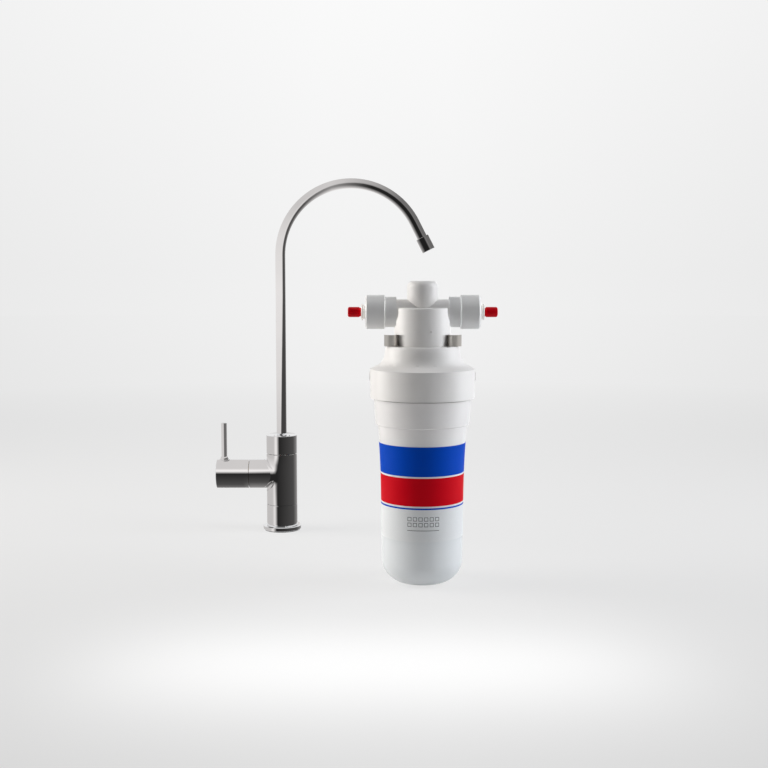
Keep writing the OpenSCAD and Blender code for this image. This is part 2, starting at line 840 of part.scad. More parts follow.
module port_nut(side) {
    color(nut_white)
        on_port(side)
            turned([
                [sleeve_r + nut_thread_gap, nut_in], [nut_r - 0.4, nut_in], [nut_r, nut_in + 0.4],
                [nut_r, nut_face - nut_chamfer], [nut_r - nut_chamfer, nut_face],
                [collet_r + 0.3, nut_face], [collet_r + 0.3, nut_wall_in],
                [sleeve_r + nut_thread_gap, nut_wall_in]
            ]);
}

module collet(side) {
    slot_w = 1;
    color(white)
        on_port(side)
            difference() {
                turned([
                    [collet_bore_r, collet_in], [collet_flare_r, collet_in],
                    [collet_flare_r, collet_flare_end - 0.4], [collet_r, collet_flare_end],
                    [collet_r, collet_lip_x], [collet_lip_r, collet_lip_x],
                    [collet_lip_r, collet_face - 0.4], [collet_lip_r - 0.4, collet_face],
                    [collet_bore_r, collet_face]
                ]);
                for (turn = [45, 135])
                    rotate([0, 0, turn])
                        translate([-slot_w / 2, -chamber_r, collet_in - 1])
                            cube([slot_w, 2 * chamber_r, (nut_face - collet_in) / 2 + 1]);
            }
}

module tube_oring(side) {
    color(rubber_black)
        on_port(side)
            oring(collet_bore_r + tube_seal, tube_seal, oring_x);
}

module spacer(side) {
    color(nylon)
        on_port(side)
            tube(chamber_r - seat_gap, collet_bore_r + 0.05, spacer_x, spacer_x + spacer_l);
}

module plug(side) {
    head_r = tube_r + plug_head;
    groove_x = collet_face + plug_groove;
    color(plug_red)
        on_port(side)
            turned([
                [0, plug_in], [tube_r - 0.8, plug_in], [tube_r, plug_in + 0.8],
                [tube_r, collet_face], [tube_r - 0.5, collet_face + 0.3], [tube_r - 0.5, groove_x],
                [head_r, groove_x + 0.4], [head_r, plug_face - 1.3], [head_r - 0.4, plug_face - 0.4],
                [head_r - 1.3, plug_face], [0, plug_face]
            ]);
}

// Cartridge

// Half outline of the shell's body, shrunk inwards by a distance
module shell_outline(shrink, top_z) {
    arc_r = foot_round - shrink;
    arc_x = shell_r - foot_round;
    polygon(concat(
        [[0, foot_round]], shell_side(foot_round, shell_h, -shrink),
        [[shell_top_r - shrink, top_z], [0, top_z]]
    ));
    translate([arc_x, foot_round])
        intersection() {
            circle(r = arc_r);
            translate([0, -arc_r])
                square(arc_r);
        }
    translate([0, shrink])
        square([arc_x, arc_r]);
}

module cartridge_shell() {
    color(white)
        rotate_extrude()
            difference() {
                shell_outline(0, shell_h + shell_spigot_h);
                shell_outline(shell_wall, shell_h + shell_spigot_h + 1);
            }
}

module cartridge_top() {
    hole_x = (outlet_tube_r + stem_r) / 2 - 1;
    color(white)
        difference() {
            union() {
                turned([
                    [0, cart_ceiling_z - 1], [cart_in_r, cart_ceiling_z - 1], [cart_in_r, lid_seat_z],
                    [shell_top_r + seat_gap, lid_seat_z], [shell_top_r + seat_gap, shell_h + seat_gap],
                    [skirt_r - skirt_taper - 0.4, shell_h + seat_gap],
                    [skirt_r - skirt_taper, shell_h + 0.5],
                    [skirt_r, skirt_top_z - 0.4], [skirt_r - 0.4, skirt_top_z],
                    [cart_neck_r, skirt_top_z], [cart_neck_r, cart_top_z - cart_neck_chamfer],
                    [cart_neck_r - cart_neck_chamfer, cart_top_z], [0, cart_top_z]
                ]);
                rod(stem_r, cart_top_z - 1, stem_top_z);
                rod(tip_r, stem_top_z - 1, tip_top_z);
                rod(outlet_tube_r, outlet_tube_z, cart_ceiling_z);
                translate([-key_w / 2, -(stem_r + key_reach), cart_top_z - 1])
                    cube([key_w, 2 * (stem_r + key_reach), key_top_z - cart_top_z + 1]);
                for (i = [0 : lug_count - 1])
                    rotate([0, 0, i * 360 / lug_count])
                        translate([cart_neck_r - 1, 0, lug_z])
                            rotate([0, 90, 0])
                                cylinder(r = lug_r, h = lug_reach + 1);
            }
            rod(outlet_bore_r, outlet_tube_z - 1, tip_top_z + 1);
            rod(outlet_tube_r - 1.6, outlet_tube_z - 1, cart_ceiling_z);
            for (turn = [45 : 90 : 315])
                rotate([0, 0, turn])
                    translate([hole_x, 0, 0])
                        rod(inlet_hole_r, cart_ceiling_z - 2, stem_top_z + 1);
            for (z = stem_seals)
                oring_groove(stem_r, seal, z);
            oring_groove(tip_r, tip_seal, tip_seal_z);
        }
}

module stem_orings() {
    color(rubber_black) {
        for (z = stem_seals)
            oring(oring_mid(stem_r, seal), seal, z);
        oring(oring_mid(tip_r, tip_seal), tip_seal, tip_seal_z);
    }
}

module carbon_block() {
    color(carbon_black)
        tube(block_r, block_bore, block_z, block_top_z);
}

module prefilter_wrap() {
    color(felt_white)
        tube(wrap_r, block_r, block_z, block_top_z);
}

module core_tube() {
    hole_r = 1.2;
    rows = 8;
    pitch = block_h / (rows + 1);
    color(nylon)
        difference() {
            tube(block_bore - seat_gap, block_bore - core_wall, block_z, block_top_z);
            for (row = [1 : rows], turn = [0, 90])
                translate([0, 0, block_z + row * pitch])
                    rotate([90, 0, turn + row % 2 * 45])
                        cylinder(r = hole_r, h = 2 * block_bore + 2, center = true, $fn = 24);
        }
}

module top_end_cap() {
    color(nylon)
        difference() {
            rod(cap_r, block_top_z - cap_rim, cap_top_z);
            rod(wrap_r + seat_gap, block_top_z - cap_rim - 1, block_top_z);
            rod(outlet_tube_r - 1.6, block_top_z - 1, cap_top_z + 1);
        }
}

module bottom_end_cap() {
    foot_r = block_bore + 1;
    color(nylon) {
        difference() {
            rod(cap_r, block_z - cap_t, block_z + cap_rim);
            rod(wrap_r + seat_gap, block_z, block_z + cap_rim + 1);
        }
        tube(foot_r, foot_r - 2, shell_wall, block_z - cap_t);
    }
}

module block_seal() {
    color(rubber_black)
        tube(outlet_tube_r, outlet_tube_r - 1.6, cap_top_z, outlet_tube_z);
}

// Label

// A thin sleeve on the shell, open at the back
module shell_sleeve(z0, z1, lift, t) {
    rotate([0, 0, 90 + label_gap / 2])
        rotate_extrude(angle = 360 - label_gap)
            polygon(concat(shell_side(z0, z1, lift), reversed(shell_side(z0, z1, lift + t))));
}

module label_panel() {
    color(white)
        shell_sleeve(label_z, label_top_z, glue_t, label_t);
}

module label_blue() {
    color(blue) {
        shell_sleeve(blue_z, blue_top_z, ink_lift, ink_t);
        shell_sleeve(line_z, line_z + line_h, ink_lift, ink_t);
    }
}

module label_red() {
    color(red)
        shell_sleeve(red_z, red_z + red_h, ink_lift, ink_t);
}

// Tap body

module base_gasket() {
    color(rubber_black)
        at_tap()
            tube(flange_r - 1.2, base_spigot_r + 0.5, 0, gasket_t);
}

module base_flange() {
    hole_r = base_spigot_r + seat_gap;
    color(chrome)
        at_tap()
            turned([
                [hole_r, gasket_t], [flange_r - edge_bevel, gasket_t],
                [flange_r, gasket_t + edge_bevel], [flange_r, flange_top_z - 2 * edge_bevel],
                [flange_r - 2 * edge_bevel, flange_top_z], [hole_r, flange_top_z]
            ]);
}

module base_sleeve() {
    hole_r = base_spigot_r + seat_gap;
    color(chrome)
        at_tap()
            turned([
                [hole_r, flange_top_z], [base_r, flange_top_z], [base_r, base_top_z - edge_bevel],
                [base_r - edge_bevel, base_top_z], [hole_r, base_top_z]
            ]);
}

module tap_body() {
    foot_z = gasket_t + 0.2;
    socket_r = spout_spigot_r + run_gap;
    hole_r = tap_channel_r;
    feed_x = 6;
    feed_z = barrel_z - disc_port_off;
    color(chrome)
        difference() {
            union() {
                at_tap() {
                    turned([
                        [0, body_z], [body_r - edge_bevel, body_z], [body_r, body_z + edge_bevel],
                        [body_r, body_top_z - edge_bevel], [body_r - edge_bevel, body_top_z],
                        [0, body_top_z]
                    ]);
                    rod(base_spigot_r, foot_z, body_z + 1);
                }
                on_barrel() {
                    rod(barrel_r, 0, barrel_l - edge_bevel);
                    translate([0, 0, barrel_l - edge_bevel])
                        cylinder(r1 = barrel_r, r2 = barrel_r - edge_bevel, h = edge_bevel);
                }
            }
            at_tap() {
                rod(tail_hole_r, foot_z - 1, foot_z + tail_hole_h);
                rod(socket_r, socket_floor_z, body_top_z + 1);
                translate([-feed_x, 0, 0])
                    rod(hole_r, foot_z + tail_hole_h - 1, feed_z);
                translate([0, 0, keeper_z])
                    rotate([-90, 0, 0])
                        cylinder(r = keeper_r + seat_gap, h = body_r + 1);
            }
            on_barrel() {
                rod(valve_bore_r, valve_bore_x, barrel_l + 1);
                translate([-disc_port_off, 0, 0])
                    rod(hole_r, feed_x, valve_bore_x + 1);
                translate([disc_port_off, 0, 0])
                    rod(hole_r, feed_x - 2, valve_bore_x + 1);
                translate([disc_port_off, 0, feed_x - 2])
                    rotate([0, 90, 0])
                        cylinder(r = hole_r, h = socket_floor_z - barrel_z - disc_port_off + 1);
            }
        }
}

module swivel_washer() {
    color(nylon)
        at_tap()
            tube(body_r - 1.2, spout_spigot_r + 0.1, body_top_z + 0.02, collar_z);
}

module swivel_collar() {
    hole_r = spout_spigot_r + seat_gap;
    mouth_r = spout_r + seat_gap;
    color(chrome)
        at_tap()
            turned([
                [hole_r, collar_z], [body_r - edge_bevel, collar_z], [body_r, collar_z + edge_bevel],
                [body_r, collar_top_z - edge_bevel], [body_r - edge_bevel, collar_top_z],
                [mouth_r, collar_top_z], [mouth_r, collar_top_z - collar_roof_t],
                [hole_r, collar_top_z - collar_roof_t]
            ]);
}

module spout_spigot() {
    color(brass_yellow)
        at_tap()
            difference() {
                rod(spout_spigot_r, spigot_z, spigot_top_z);
                rod(spout_r - spout_wall, spigot_z - 1, tube_z + 1);
                rod(spout_r + seat_gap, tube_z, spigot_top_z + 1);
                tube(spout_spigot_r + 1, spout_spigot_r - keeper_groove,
                     keeper_z - keeper_r - 0.3, keeper_z + keeper_r + 0.3);
                for (i = [0 : 1])
                    oring_groove(spout_spigot_r, spout_seal, spout_seal_z + i * spout_seal_pitch);
            }
}

module spout_orings() {
    color(rubber_black)
        at_tap()
            for (i = [0 : 1])
                oring(oring_mid(spout_spigot_r, spout_seal), spout_seal, spout_seal_z + i * spout_seal_pitch);
}

module spout_keeper_screw() {
    tip_y = spout_spigot_r - keeper_groove + 0.3;
    color(steel)
        at_tap()
            translate([0, tip_y, keeper_z])
                rotate([-90, 0, 0])
                    difference() {
                        cylinder(r = keeper_r, h = body_r - 0.4 - tip_y);
                        translate([0, 0, body_r - 0.4 - tip_y - 1.2])
                            cylinder(r = keeper_r * 0.6, h = 2, $fn = 6);
                    }
}

// Spout

// Places a piece along the spout's straight end, its Z pointing out of the tip
module at_spout_end() {
    at_tap()
        translate([arch_r, 0, arch_z])
            rotate([0, arch_sweep, 0])
                translate([-arch_r, 0, 0])
                    children();
}

// Ring section of the spout tube, its wall thinned from both sides by a hair where it is sized
module spout_section(thinned = 0) {
    difference() {
        circle(r = spout_r - thinned);
        circle(r = spout_r - spout_wall + thinned);
    }
}

module spout_tube() {
    color(chrome) {
        at_tap() {
            translate([0, 0, tube_z + 0.2])
                linear_extrude(height = arch_z - tube_z - 0.2)
                    spout_section();
            translate([arch_r, 0, arch_z])
                rotate([90, 0, 180])
                    rotate_extrude(angle = arch_sweep)
                        translate([arch_r, 0])
                            spout_section();
        }
        at_spout_end()
            linear_extrude(height = spout_end)
                spout_section(tip_sizing);
    }
}

module aerator_sleeve() {
    mouth_r = aerator_r - aerator_wall;
    color(chrome)
        at_spout_end()
            translate([0, 0, spout_end - aerator_grip])
                turned([
                    [spout_r + seat_gap, 0], [aerator_r - 0.5, 0], [aerator_r, 0.5],
                    [aerator_r, aerator_l + aerator_grip - 0.4],
                    [aerator_r - 0.4, aerator_l + aerator_grip], [mouth_r, aerator_l + aerator_grip],
                    [mouth_r, aerator_grip + 0.3], [spout_r + seat_gap, aerator_grip + 0.3]
                ]);
}

module aerator_insert() {
    insert_r = aerator_r - aerator_wall - seat_gap;
    hole_r = 0.5;
    plate_t = 1.6;
    color(nut_white)
        at_spout_end()
            translate([0, 0, spout_end])
                difference() {
                    rod(insert_r, 0.3, aerator_l - 1);
                    rod(insert_r - 1, 0, aerator_l - 1 - plate_t);
                    for (turn = [0 : 60 : 300])
                        rotate([0, 0, turn])
                            translate([insert_r * 0.55, 0, 0])
                                rod(hole_r, 1, aerator_l);
                    rod(hole_r, 1, aerator_l);
                }
}

// Lever barrel and valve

module lever_barrel() {
    socket_r = valve_stem_r + seat_gap;
    socket_end = valve_stem_end + 0.3;
    color(chrome)
        on_barrel()
            difference() {
                turned(concat(
                    [
                        [0, hub_x], [lever_in_r, hub_x], [lever_in_r, lever_x],
                        [barrel_r - edge_bevel, lever_x], [barrel_r, lever_x + edge_bevel]
                    ],
                    rounded_end(barrel_r, lever_end, lever_barrel_round),
                    [[0, lever_end]]
                ));
                rod(socket_r, hub_x - 1, socket_end);
                translate([0, 0, pin_x])
                    rotate([0, 90, 0])
                        cylinder(r = pin_seat_r + seat_gap, h = barrel_r + 1);
                translate([0, 0, lever_screw_x])
                    rotate([0, -90, 0])
                        cylinder(r = lever_screw_r + seat_gap, h = barrel_r + 1);
            }
}

// Lever pin: a thinner root screwed into the barrel, and the pin above it
module lever_pin() {
    color(chrome)
        on_barrel()
            translate([0, 0, pin_x])
                rotate([0, 90, 0])
                    turned([
                        [0, pin_foot], [pin_seat_r, pin_foot], [pin_seat_r, barrel_r + 0.3],
                        [pin_r, barrel_r + 0.3], [pin_r, pin_h - 0.6], [pin_r - 0.6, pin_h], [0, pin_h]
                    ]);
}

// Flared ferrule round the foot of the pin, its underside hollowed to the barrel's curve
module lever_ferrule() {
    color(chrome)
        on_barrel()
            difference() {
                translate([0, 0, pin_x])
                    rotate([0, 90, 0])
                        turned([
                            [pin_r + seat_gap, barrel_r - 1], [ferrule_r, barrel_r - 1],
                            [ferrule_r, barrel_r + 0.5], [pin_r + 0.5, barrel_r + ferrule_h],
                            [pin_r + seat_gap, barrel_r + ferrule_h]
                        ]);
                rod(barrel_r + seat_gap, pin_x - 2 * ferrule_r, pin_x + 2 * ferrule_r);
            }
}

module lever_screw() {
    length = barrel_r - valve_stem_r - 0.6;
    color(steel)
        on_barrel()
            translate([-valve_stem_r - 0.1, 0, lever_screw_x])
                rotate([0, -90, 0])
                    difference() {
                        cylinder(r = lever_screw_r, h = length);
                        translate([0, 0, length - 1.4])
                            cylinder(r = lever_screw_r * 0.6, h = 2, $fn = 6);
                    }
}

module valve_housing() {
    color(brass_yellow)
        on_barrel()
            difference() {
                union() {
                    rod(housing_r, housing_x, housing_end);
                    rod(gland_neck_r, housing_end - 1, barrel_l + gland_l + 2);
                }
                rod(disc_r + run_gap, housing_x - 1, driver_x + driver_l + 0.3);
                rod(valve_stem_r + run_gap, housing_x, barrel_l + gland_l + 3);
                translate([0, 0, stem_seal_x])
                    tube(valve_stem_r + 2 * stem_seal_section, valve_stem_r, -stem_seal_section - 0.1,
                         stem_seal_section + 0.1);
            }
}

module valve_stem_oring() {
    color(rubber_black)
        on_barrel()
            oring(valve_stem_r + run_gap + stem_seal_section - 0.04, stem_seal_section - 0.02, stem_seal_x);
}

module gland_nut() {
    color(brass_yellow)
        on_barrel()
            difference() {
                union() {
                    rod(valve_bore_r - 0.1, housing_end + 0.1, barrel_l + 0.1);
                    translate([0, 0, barrel_l + 0.05])
                        cylinder(r = gland_r, h = gland_l, $fn = 6);
                }
                rod(gland_neck_r + seat_gap, housing_end, barrel_l + gland_l + 1);
            }
}

module valve_stem() {
    fork_w = 4;
    color(brass_yellow)
        on_barrel() {
            rod(disc_r, driver_x + 0.05, driver_x + driver_l);
            rod(valve_stem_r, driver_x + driver_l - 1, valve_stem_end);
            translate([-fork_w / 2, -disc_r * 0.6, driver_x - 1])
                cube([fork_w, disc_r * 1.2, 1.5]);
        }
}

// Ceramic disc with two round ports, facing the inlet and the outlet
module fixed_disc() {
    color(ceramic_white)
        on_barrel()
            difference() {
                rod(disc_r, fixed_x + 0.02, turning_x - 0.02);
                for (side = [-1, 1])
                    translate([side * disc_port_off, 0, 0])
                        rod(disc_port_r, fixed_x - 1, turning_x + 1);
            }
}

// Ceramic disc with a pocket that joins the two ports after a quarter turn
module turning_disc() {
    pocket = disc_port_r + disc_port_off;
    color(ceramic_white)
        on_barrel()
            difference() {
                rod(disc_r, turning_x + 0.02, driver_x);
                translate([-disc_port_r, -pocket, turning_x - 1])
                    cube([2 * disc_port_r, 2 * pocket, 1 + disc_t * 0.4]);
                translate([-2.1, -disc_r * 0.6 - 0.1, driver_x - 1.1])
                    cube([4.2, disc_r * 1.2 + 0.2, 2]);
            }
}

module valve_seal() {
    color(rubber_black)
        on_barrel()
            difference() {
                rod(disc_r, seal_x, fixed_x);
                for (side = [-1, 1])
                    translate([side * disc_port_off, 0, 0])
                        rod(disc_port_r, seal_x - 1, fixed_x + 1);
            }
}

head_body();
lock_ledges();
shutoff_spool();
spool_orings();
spool_retainer();
wall_clip();
port_seals();
adaptor(inlet);  // inlet_adaptor
port_nut(inlet);  // inlet_nut
collet(inlet);  // inlet_collet
tube_oring(inlet);  // inlet_oring
spacer(inlet);  // inlet_spacer
plug(inlet);  // inlet_plug
adaptor(outlet);  // outlet_adaptor
port_nut(outlet);  // outlet_nut
collet(outlet);  // outlet_collet
tube_oring(outlet);  // outlet_oring
spacer(outlet);  // outlet_spacer
plug(outlet);  // outlet_plug
cartridge_shell();
cartridge_top();
stem_orings();
carbon_block();
prefilter_wrap();
core_tube();
top_end_cap();
bottom_end_cap();
block_seal();
label_panel();
label_blue();
label_red();
base_gasket();
base_flange();
base_sleeve();
tap_body();
swivel_washer();
swivel_collar();
spout_spigot();
spout_orings();
spout_tube();
aerator_sleeve();
aerator_insert();
spout_keeper_screw();
lever_barrel();
lever_pin();
lever_ferrule();
lever_screw();
valve_housing();
gland_nut();
valve_stem();
valve_stem_oring();
fixed_disc();
turning_disc();
valve_seal();
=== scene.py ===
# %% [markdown]
# # A water filter and its tap, dressed for the camera
#
# The object is a small kit for a camper's sink. One half is a white filter: a cartridge that
# twists into a moulded head with a water port on either side. The other half is a slim chrome
# tap with a gooseneck spout and a lever on its side barrel.
#
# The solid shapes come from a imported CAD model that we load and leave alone. Our work is what a
# CAD model lacks: finishes, print, fine metalwork, a studio and a camera. Every length is in
# metres, in the same frame as the CAD model, with +Z up and the photographer on the -Y side.

import json
import math

import bmesh
import bpy
from mathutils import Matrix, Vector


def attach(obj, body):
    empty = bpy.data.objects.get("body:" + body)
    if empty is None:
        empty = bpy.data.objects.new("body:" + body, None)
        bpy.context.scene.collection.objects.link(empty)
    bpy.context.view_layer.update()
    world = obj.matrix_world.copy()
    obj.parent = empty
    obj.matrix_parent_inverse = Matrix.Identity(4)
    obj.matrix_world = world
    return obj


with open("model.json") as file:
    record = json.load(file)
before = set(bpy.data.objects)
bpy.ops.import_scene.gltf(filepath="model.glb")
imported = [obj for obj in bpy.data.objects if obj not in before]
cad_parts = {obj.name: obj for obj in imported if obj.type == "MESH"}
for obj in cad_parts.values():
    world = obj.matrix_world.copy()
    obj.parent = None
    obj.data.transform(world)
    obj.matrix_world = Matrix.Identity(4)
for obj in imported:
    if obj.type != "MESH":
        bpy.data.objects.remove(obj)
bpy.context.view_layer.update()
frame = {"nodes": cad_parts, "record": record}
MM = 0.001
scene = bpy.context.scene

# %% [markdown]
# ## Camera
#
# The photograph was taken from a little above the filter's shoulder with a long lens, so upright
# edges stay almost parallel. We set the camera's place and tilt as numbers, because a camera that
# is aimed by hand never lands on the same spot twice. The frame is square, 768 pixels a side, and
# a focal length of 1200 pixels on a 36 mm sensor is a 56.25 mm lens.

# %% Place the camera
FOCAL_PX = 1200
FRAME_PX = 768
SENSOR_MM = 36
CAMERA_AT = Vector((-31.4, -975.9, 257.1)) * MM
CAMERA_TILT = math.radians(5.474)

lens_data = bpy.data.cameras.new("studio_camera")
lens_data.sensor_width = SENSOR_MM
lens_data.lens = FOCAL_PX / FRAME_PX * SENSOR_MM
camera = bpy.data.objects.new("studio_camera", lens_data)
camera.location = CAMERA_AT
camera.rotation_euler = (math.radians(90) - CAMERA_TILT, 0, 0)
scene.collection.objects.link(camera)
scene.camera = camera
scene.view_settings.view_transform = "Standard"
print("lens:", round(lens_data.lens, 2), "mm")

# %% [markdown]
# ## Building materials from nodes
#
# A material here is a small graph of nodes. Three short helpers keep the graphs readable: one adds
# a node and sets its options and inputs, one links two sockets, and one starts a material with a
# Principled shader. Numbers that are the same all over a surface go straight onto the shader's
# sockets, where an exporter can read them.


# %% Node helpers
def add_node(tree, kind, inputs=None, **options):
    """A new node of this kind, its options set and its named or numbered inputs filled."""
    node = tree.nodes.new(kind)
    for name, value in options.items():
        setattr(node, name, value)
    for name, value in (inputs or {}).items():
        if isinstance(value, bpy.types.NodeSocket):
            tree.links.new(value, node.inputs[name])
        else:
            node.inputs[name].default_value = value
    return node


def maths(tree, operation, first, second=0.0, clamp=False):
    """The result socket of one Math node."""
    node = add_node(tree, "ShaderNodeMath", {0: first, 1: second}, operation=operation)
    node.use_clamp = clamp
    return node.outputs[0]


def blend_colours(tree, mask, first, second):
    """The result socket of a colour Mix node: first where the mask is 0, second where it is 1."""
    node = tree.nodes.new("ShaderNodeMix")
    node.data_type = "RGBA"
    for socket, value in ((node.inputs[0], mask), (node.inputs[6], first), (node.inputs[7], second)):
        if isinstance(value, bpy.types.NodeSocket):
            tree.links.new(value, socket)
        else:
            socket.default_value = value
    return node.outputs[2]


def start_material(name, **sockets):
    """A material with only a Principled shader and its output, and these sockets set."""
    material = bpy.data.materials.new(name)
    material.use_nodes = True
    tree = material.node_tree
    tree.nodes.clear()
    shader = tree.nodes.new("ShaderNodeBsdfPrincipled")
    output = tree.nodes.new("ShaderNodeOutputMaterial")
    tree.links.new(shader.outputs[0], output.inputs[0])
    for socket, value in sockets.items():
        shader.inputs[socket.replace("_", " ")].default_value = value
    return material, tree, shader


def place_on_object(tree):
    """The point on the surface, in the frame of the whole set."""
    return tree.nodes.new("ShaderNodeTexCoord").outputs["Object"]


print("node helpers ready")

# %% [markdown]
# ## Effects that several finishes share
#
# Moulded plastic is never mirror smooth. The tool's polish leaves a faint orange peel, and the
# melt flows unevenly, which shows as a very weak mottling. Hands leave patches that are a little
# duller. Dust settles on what faces up. Lathe work and polishing leave fine rings. And where the
# mould's halves met, the head has a parting line, and a small dimple where the melt came in.
#
# Each effect is a node group, so a finish can use it at its own scale and strength. A group gives
# out only values, which keeps the shader itself in the material.


# %% Start a node group
def start_group(name, inputs, outputs):
    """A shader node group with float sockets; returns its tree, its input and its output node."""
    tree = bpy.data.node_groups.new(name, "ShaderNodeTree")
    for label, value in inputs.items():
        socket = tree.interface.new_socket(label, in_out="INPUT", socket_type="NodeSocketFloat")
        socket.default_value = value
    for label in outputs:
        tree.interface.new_socket(label, in_out="OUTPUT", socket_type="NodeSocketFloat")
    return tree, tree.nodes.new("NodeGroupInput"), tree.nodes.new("NodeGroupOutput")


def use_group(tree, group, **values):
    """Places a group in a material with its own values; returns its output sockets."""
    node = tree.nodes.new("ShaderNodeGroup")
    node.node_tree = group
    for label, value in values.items():
        node.inputs[label].default_value = value
    return node.outputs


# %% Group: moulded skin
moulded_skin, given, gives = start_group(
    "moulded_skin", {"Peel": 900.0, "Flow": 40.0}, ["Height", "Mottle"]
)
point = place_on_object(moulded_skin)
peel = add_node(moulded_skin, "ShaderNodeTexNoise",
                {"Vector": point, "Scale": given.outputs["Peel"], "Detail": 2.0})
flow = add_node(moulded_skin, "ShaderNodeTexNoise",
                {"Vector": point, "Scale": given.outputs["Flow"], "Detail": 4.0, "Roughness": 0.6})
moulded_skin.links.new(peel.outputs["Fac"], gives.inputs["Height"])
moulded_skin.links.new(flow.outputs["Fac"], gives.inputs["Mottle"])
print("group:", moulded_skin.name)

# %% Group: what the mould leaves on the head
GATE_AT = Vector((30.2, -34.9, 164.0)) * MM
GATE_RADIUS = 1.0 * MM
PARTING_HALF = 0.14 * MM

mould_marks, given, gives = start_group("mould_marks", {}, ["Height"])
point = place_on_object(mould_marks)
split = add_node(mould_marks, "ShaderNodeSeparateXYZ", {0: point})
off_plane = maths(mould_marks, "ABSOLUTE", split.outputs["Y"])
ridge = add_node(mould_marks, "ShaderNodeMapRange", {
    "Value": off_plane, "From Min": 0.0, "From Max": PARTING_HALF, "To Min": 1.0, "To Max": 0.0})
to_gate = add_node(mould_marks, "ShaderNodeVectorMath", {0: point, 1: GATE_AT}, operation="DISTANCE")
gate = add_node(mould_marks, "ShaderNodeMapRange", {
    "Value": to_gate.outputs["Value"], "From Min": 0.75 * GATE_RADIUS, "From Max": GATE_RADIUS,
    "To Min": -2.0, "To Max": 0.0})
mould_marks.links.new(maths(mould_marks, "ADD", ridge.outputs[0], gate.outputs[0]),
                      gives.inputs["Height"])
print("group:", mould_marks.name)

# %% Group: handling marks
handling_marks, given, gives = start_group(
    "handling_marks", {"Patch": 30.0, "Streak": 160.0, "Amount": 0.1}, ["Dulling"]
)
point = place_on_object(handling_marks)
patch = add_node(handling_marks, "ShaderNodeTexNoise",
                 {"Vector": point, "Scale": given.outputs["Patch"], "Detail": 5.0, "Roughness": 0.65})
patch_mask = add_node(handling_marks, "ShaderNodeMapRange", {
    "Value": patch.outputs["Fac"], "From Min": 0.48, "From Max": 0.68, "To Min": 0.0, "To Max": 1.0})
streak = add_node(handling_marks, "ShaderNodeTexNoise",
                  {"Vector": point, "Scale": given.outputs["Streak"], "Detail": 3.0})
both = maths(handling_marks, "MULTIPLY", patch_mask.outputs[0], streak.outputs["Fac"])
dulling = maths(handling_marks, "MULTIPLY", both, given.outputs["Amount"])
handling_marks.links.new(dulling, gives.inputs["Dulling"])
print("group:", handling_marks.name)

# %% Group: settled dust
settled_dust, given, gives = start_group("settled_dust", {"Amount": 0.2}, ["Mask"])
facing = settled_dust.nodes.new("ShaderNodeNewGeometry").outputs["Normal"]
split = add_node(settled_dust, "ShaderNodeSeparateXYZ", {0: facing})
upward = add_node(settled_dust, "ShaderNodeMapRange", {
    "Value": split.outputs["Z"], "From Min": 0.55, "From Max": 1.0, "To Min": 0.0, "To Max": 1.0})
speck = add_node(settled_dust, "ShaderNodeTexNoise",
                 {"Vector": place_on_object(settled_dust), "Scale": 2200.0, "Detail": 2.0})
specks = maths(settled_dust, "MULTIPLY", upward.outputs[0], speck.outputs["Fac"])
dust_mask = maths(settled_dust, "MULTIPLY", specks, given.outputs["Amount"], clamp=True)
settled_dust.links.new(dust_mask, gives.inputs["Mask"])
print("group:", settled_dust.name)

# %% Group: fine rings along one axis
fine_rings, given, gives = start_group(
    "fine_rings", {"Along X": 0.0, "Along Z": 1.0, "Per Metre": 2500.0}, ["Height"]
)
split = add_node(fine_rings, "ShaderNodeSeparateXYZ", {0: place_on_object(fine_rings)})
along = maths(fine_rings, "ADD",
              maths(fine_rings, "MULTIPLY", split.outputs["X"], given.outputs["Along X"]),
              maths(fine_rings, "MULTIPLY", split.outputs["Z"], given.outputs["Along Z"]))
stretched = maths(fine_rings, "MULTIPLY", along, given.outputs["Per Metre"])
ring_noise = add_node(fine_rings, "ShaderNodeTexNoise", {"W": stretched, "Scale": 1.0, "Detail": 3.0},
                      noise_dimensions="1D")
fine_rings.links.new(ring_noise.outputs["Fac"], gives.inputs["Height"])
print("group:", fine_rings.name)

# %% [markdown]
# ## The white mouldings
#
# The head, the cartridge and the port fittings are all white plastic, but they leave their moulds
# differently. The cartridge shell is the glossiest, the head is a little softer, and the fittings
# are satin. One function can make them all. What sets them apart are the colour, the gloss and the
# depth of the orange peel, so those are its arguments. The shell turns a touch cooler towards its
# foot, as in the photograph; that cooler colour is a painted cast of light, not a tint of the plastic.


# %% White plastic
def climbing(tree, low, high):
    """A mask that rises from 0 to 1 between two heights."""
    split = add_node(tree, "ShaderNodeSeparateXYZ", {0: place_on_object(tree)})
    rise = add_node(tree, "ShaderNodeMapRange", {
        "Value": split.outputs["Z"], "From Min": low, "From Max": high})
    return rise.outputs[0]


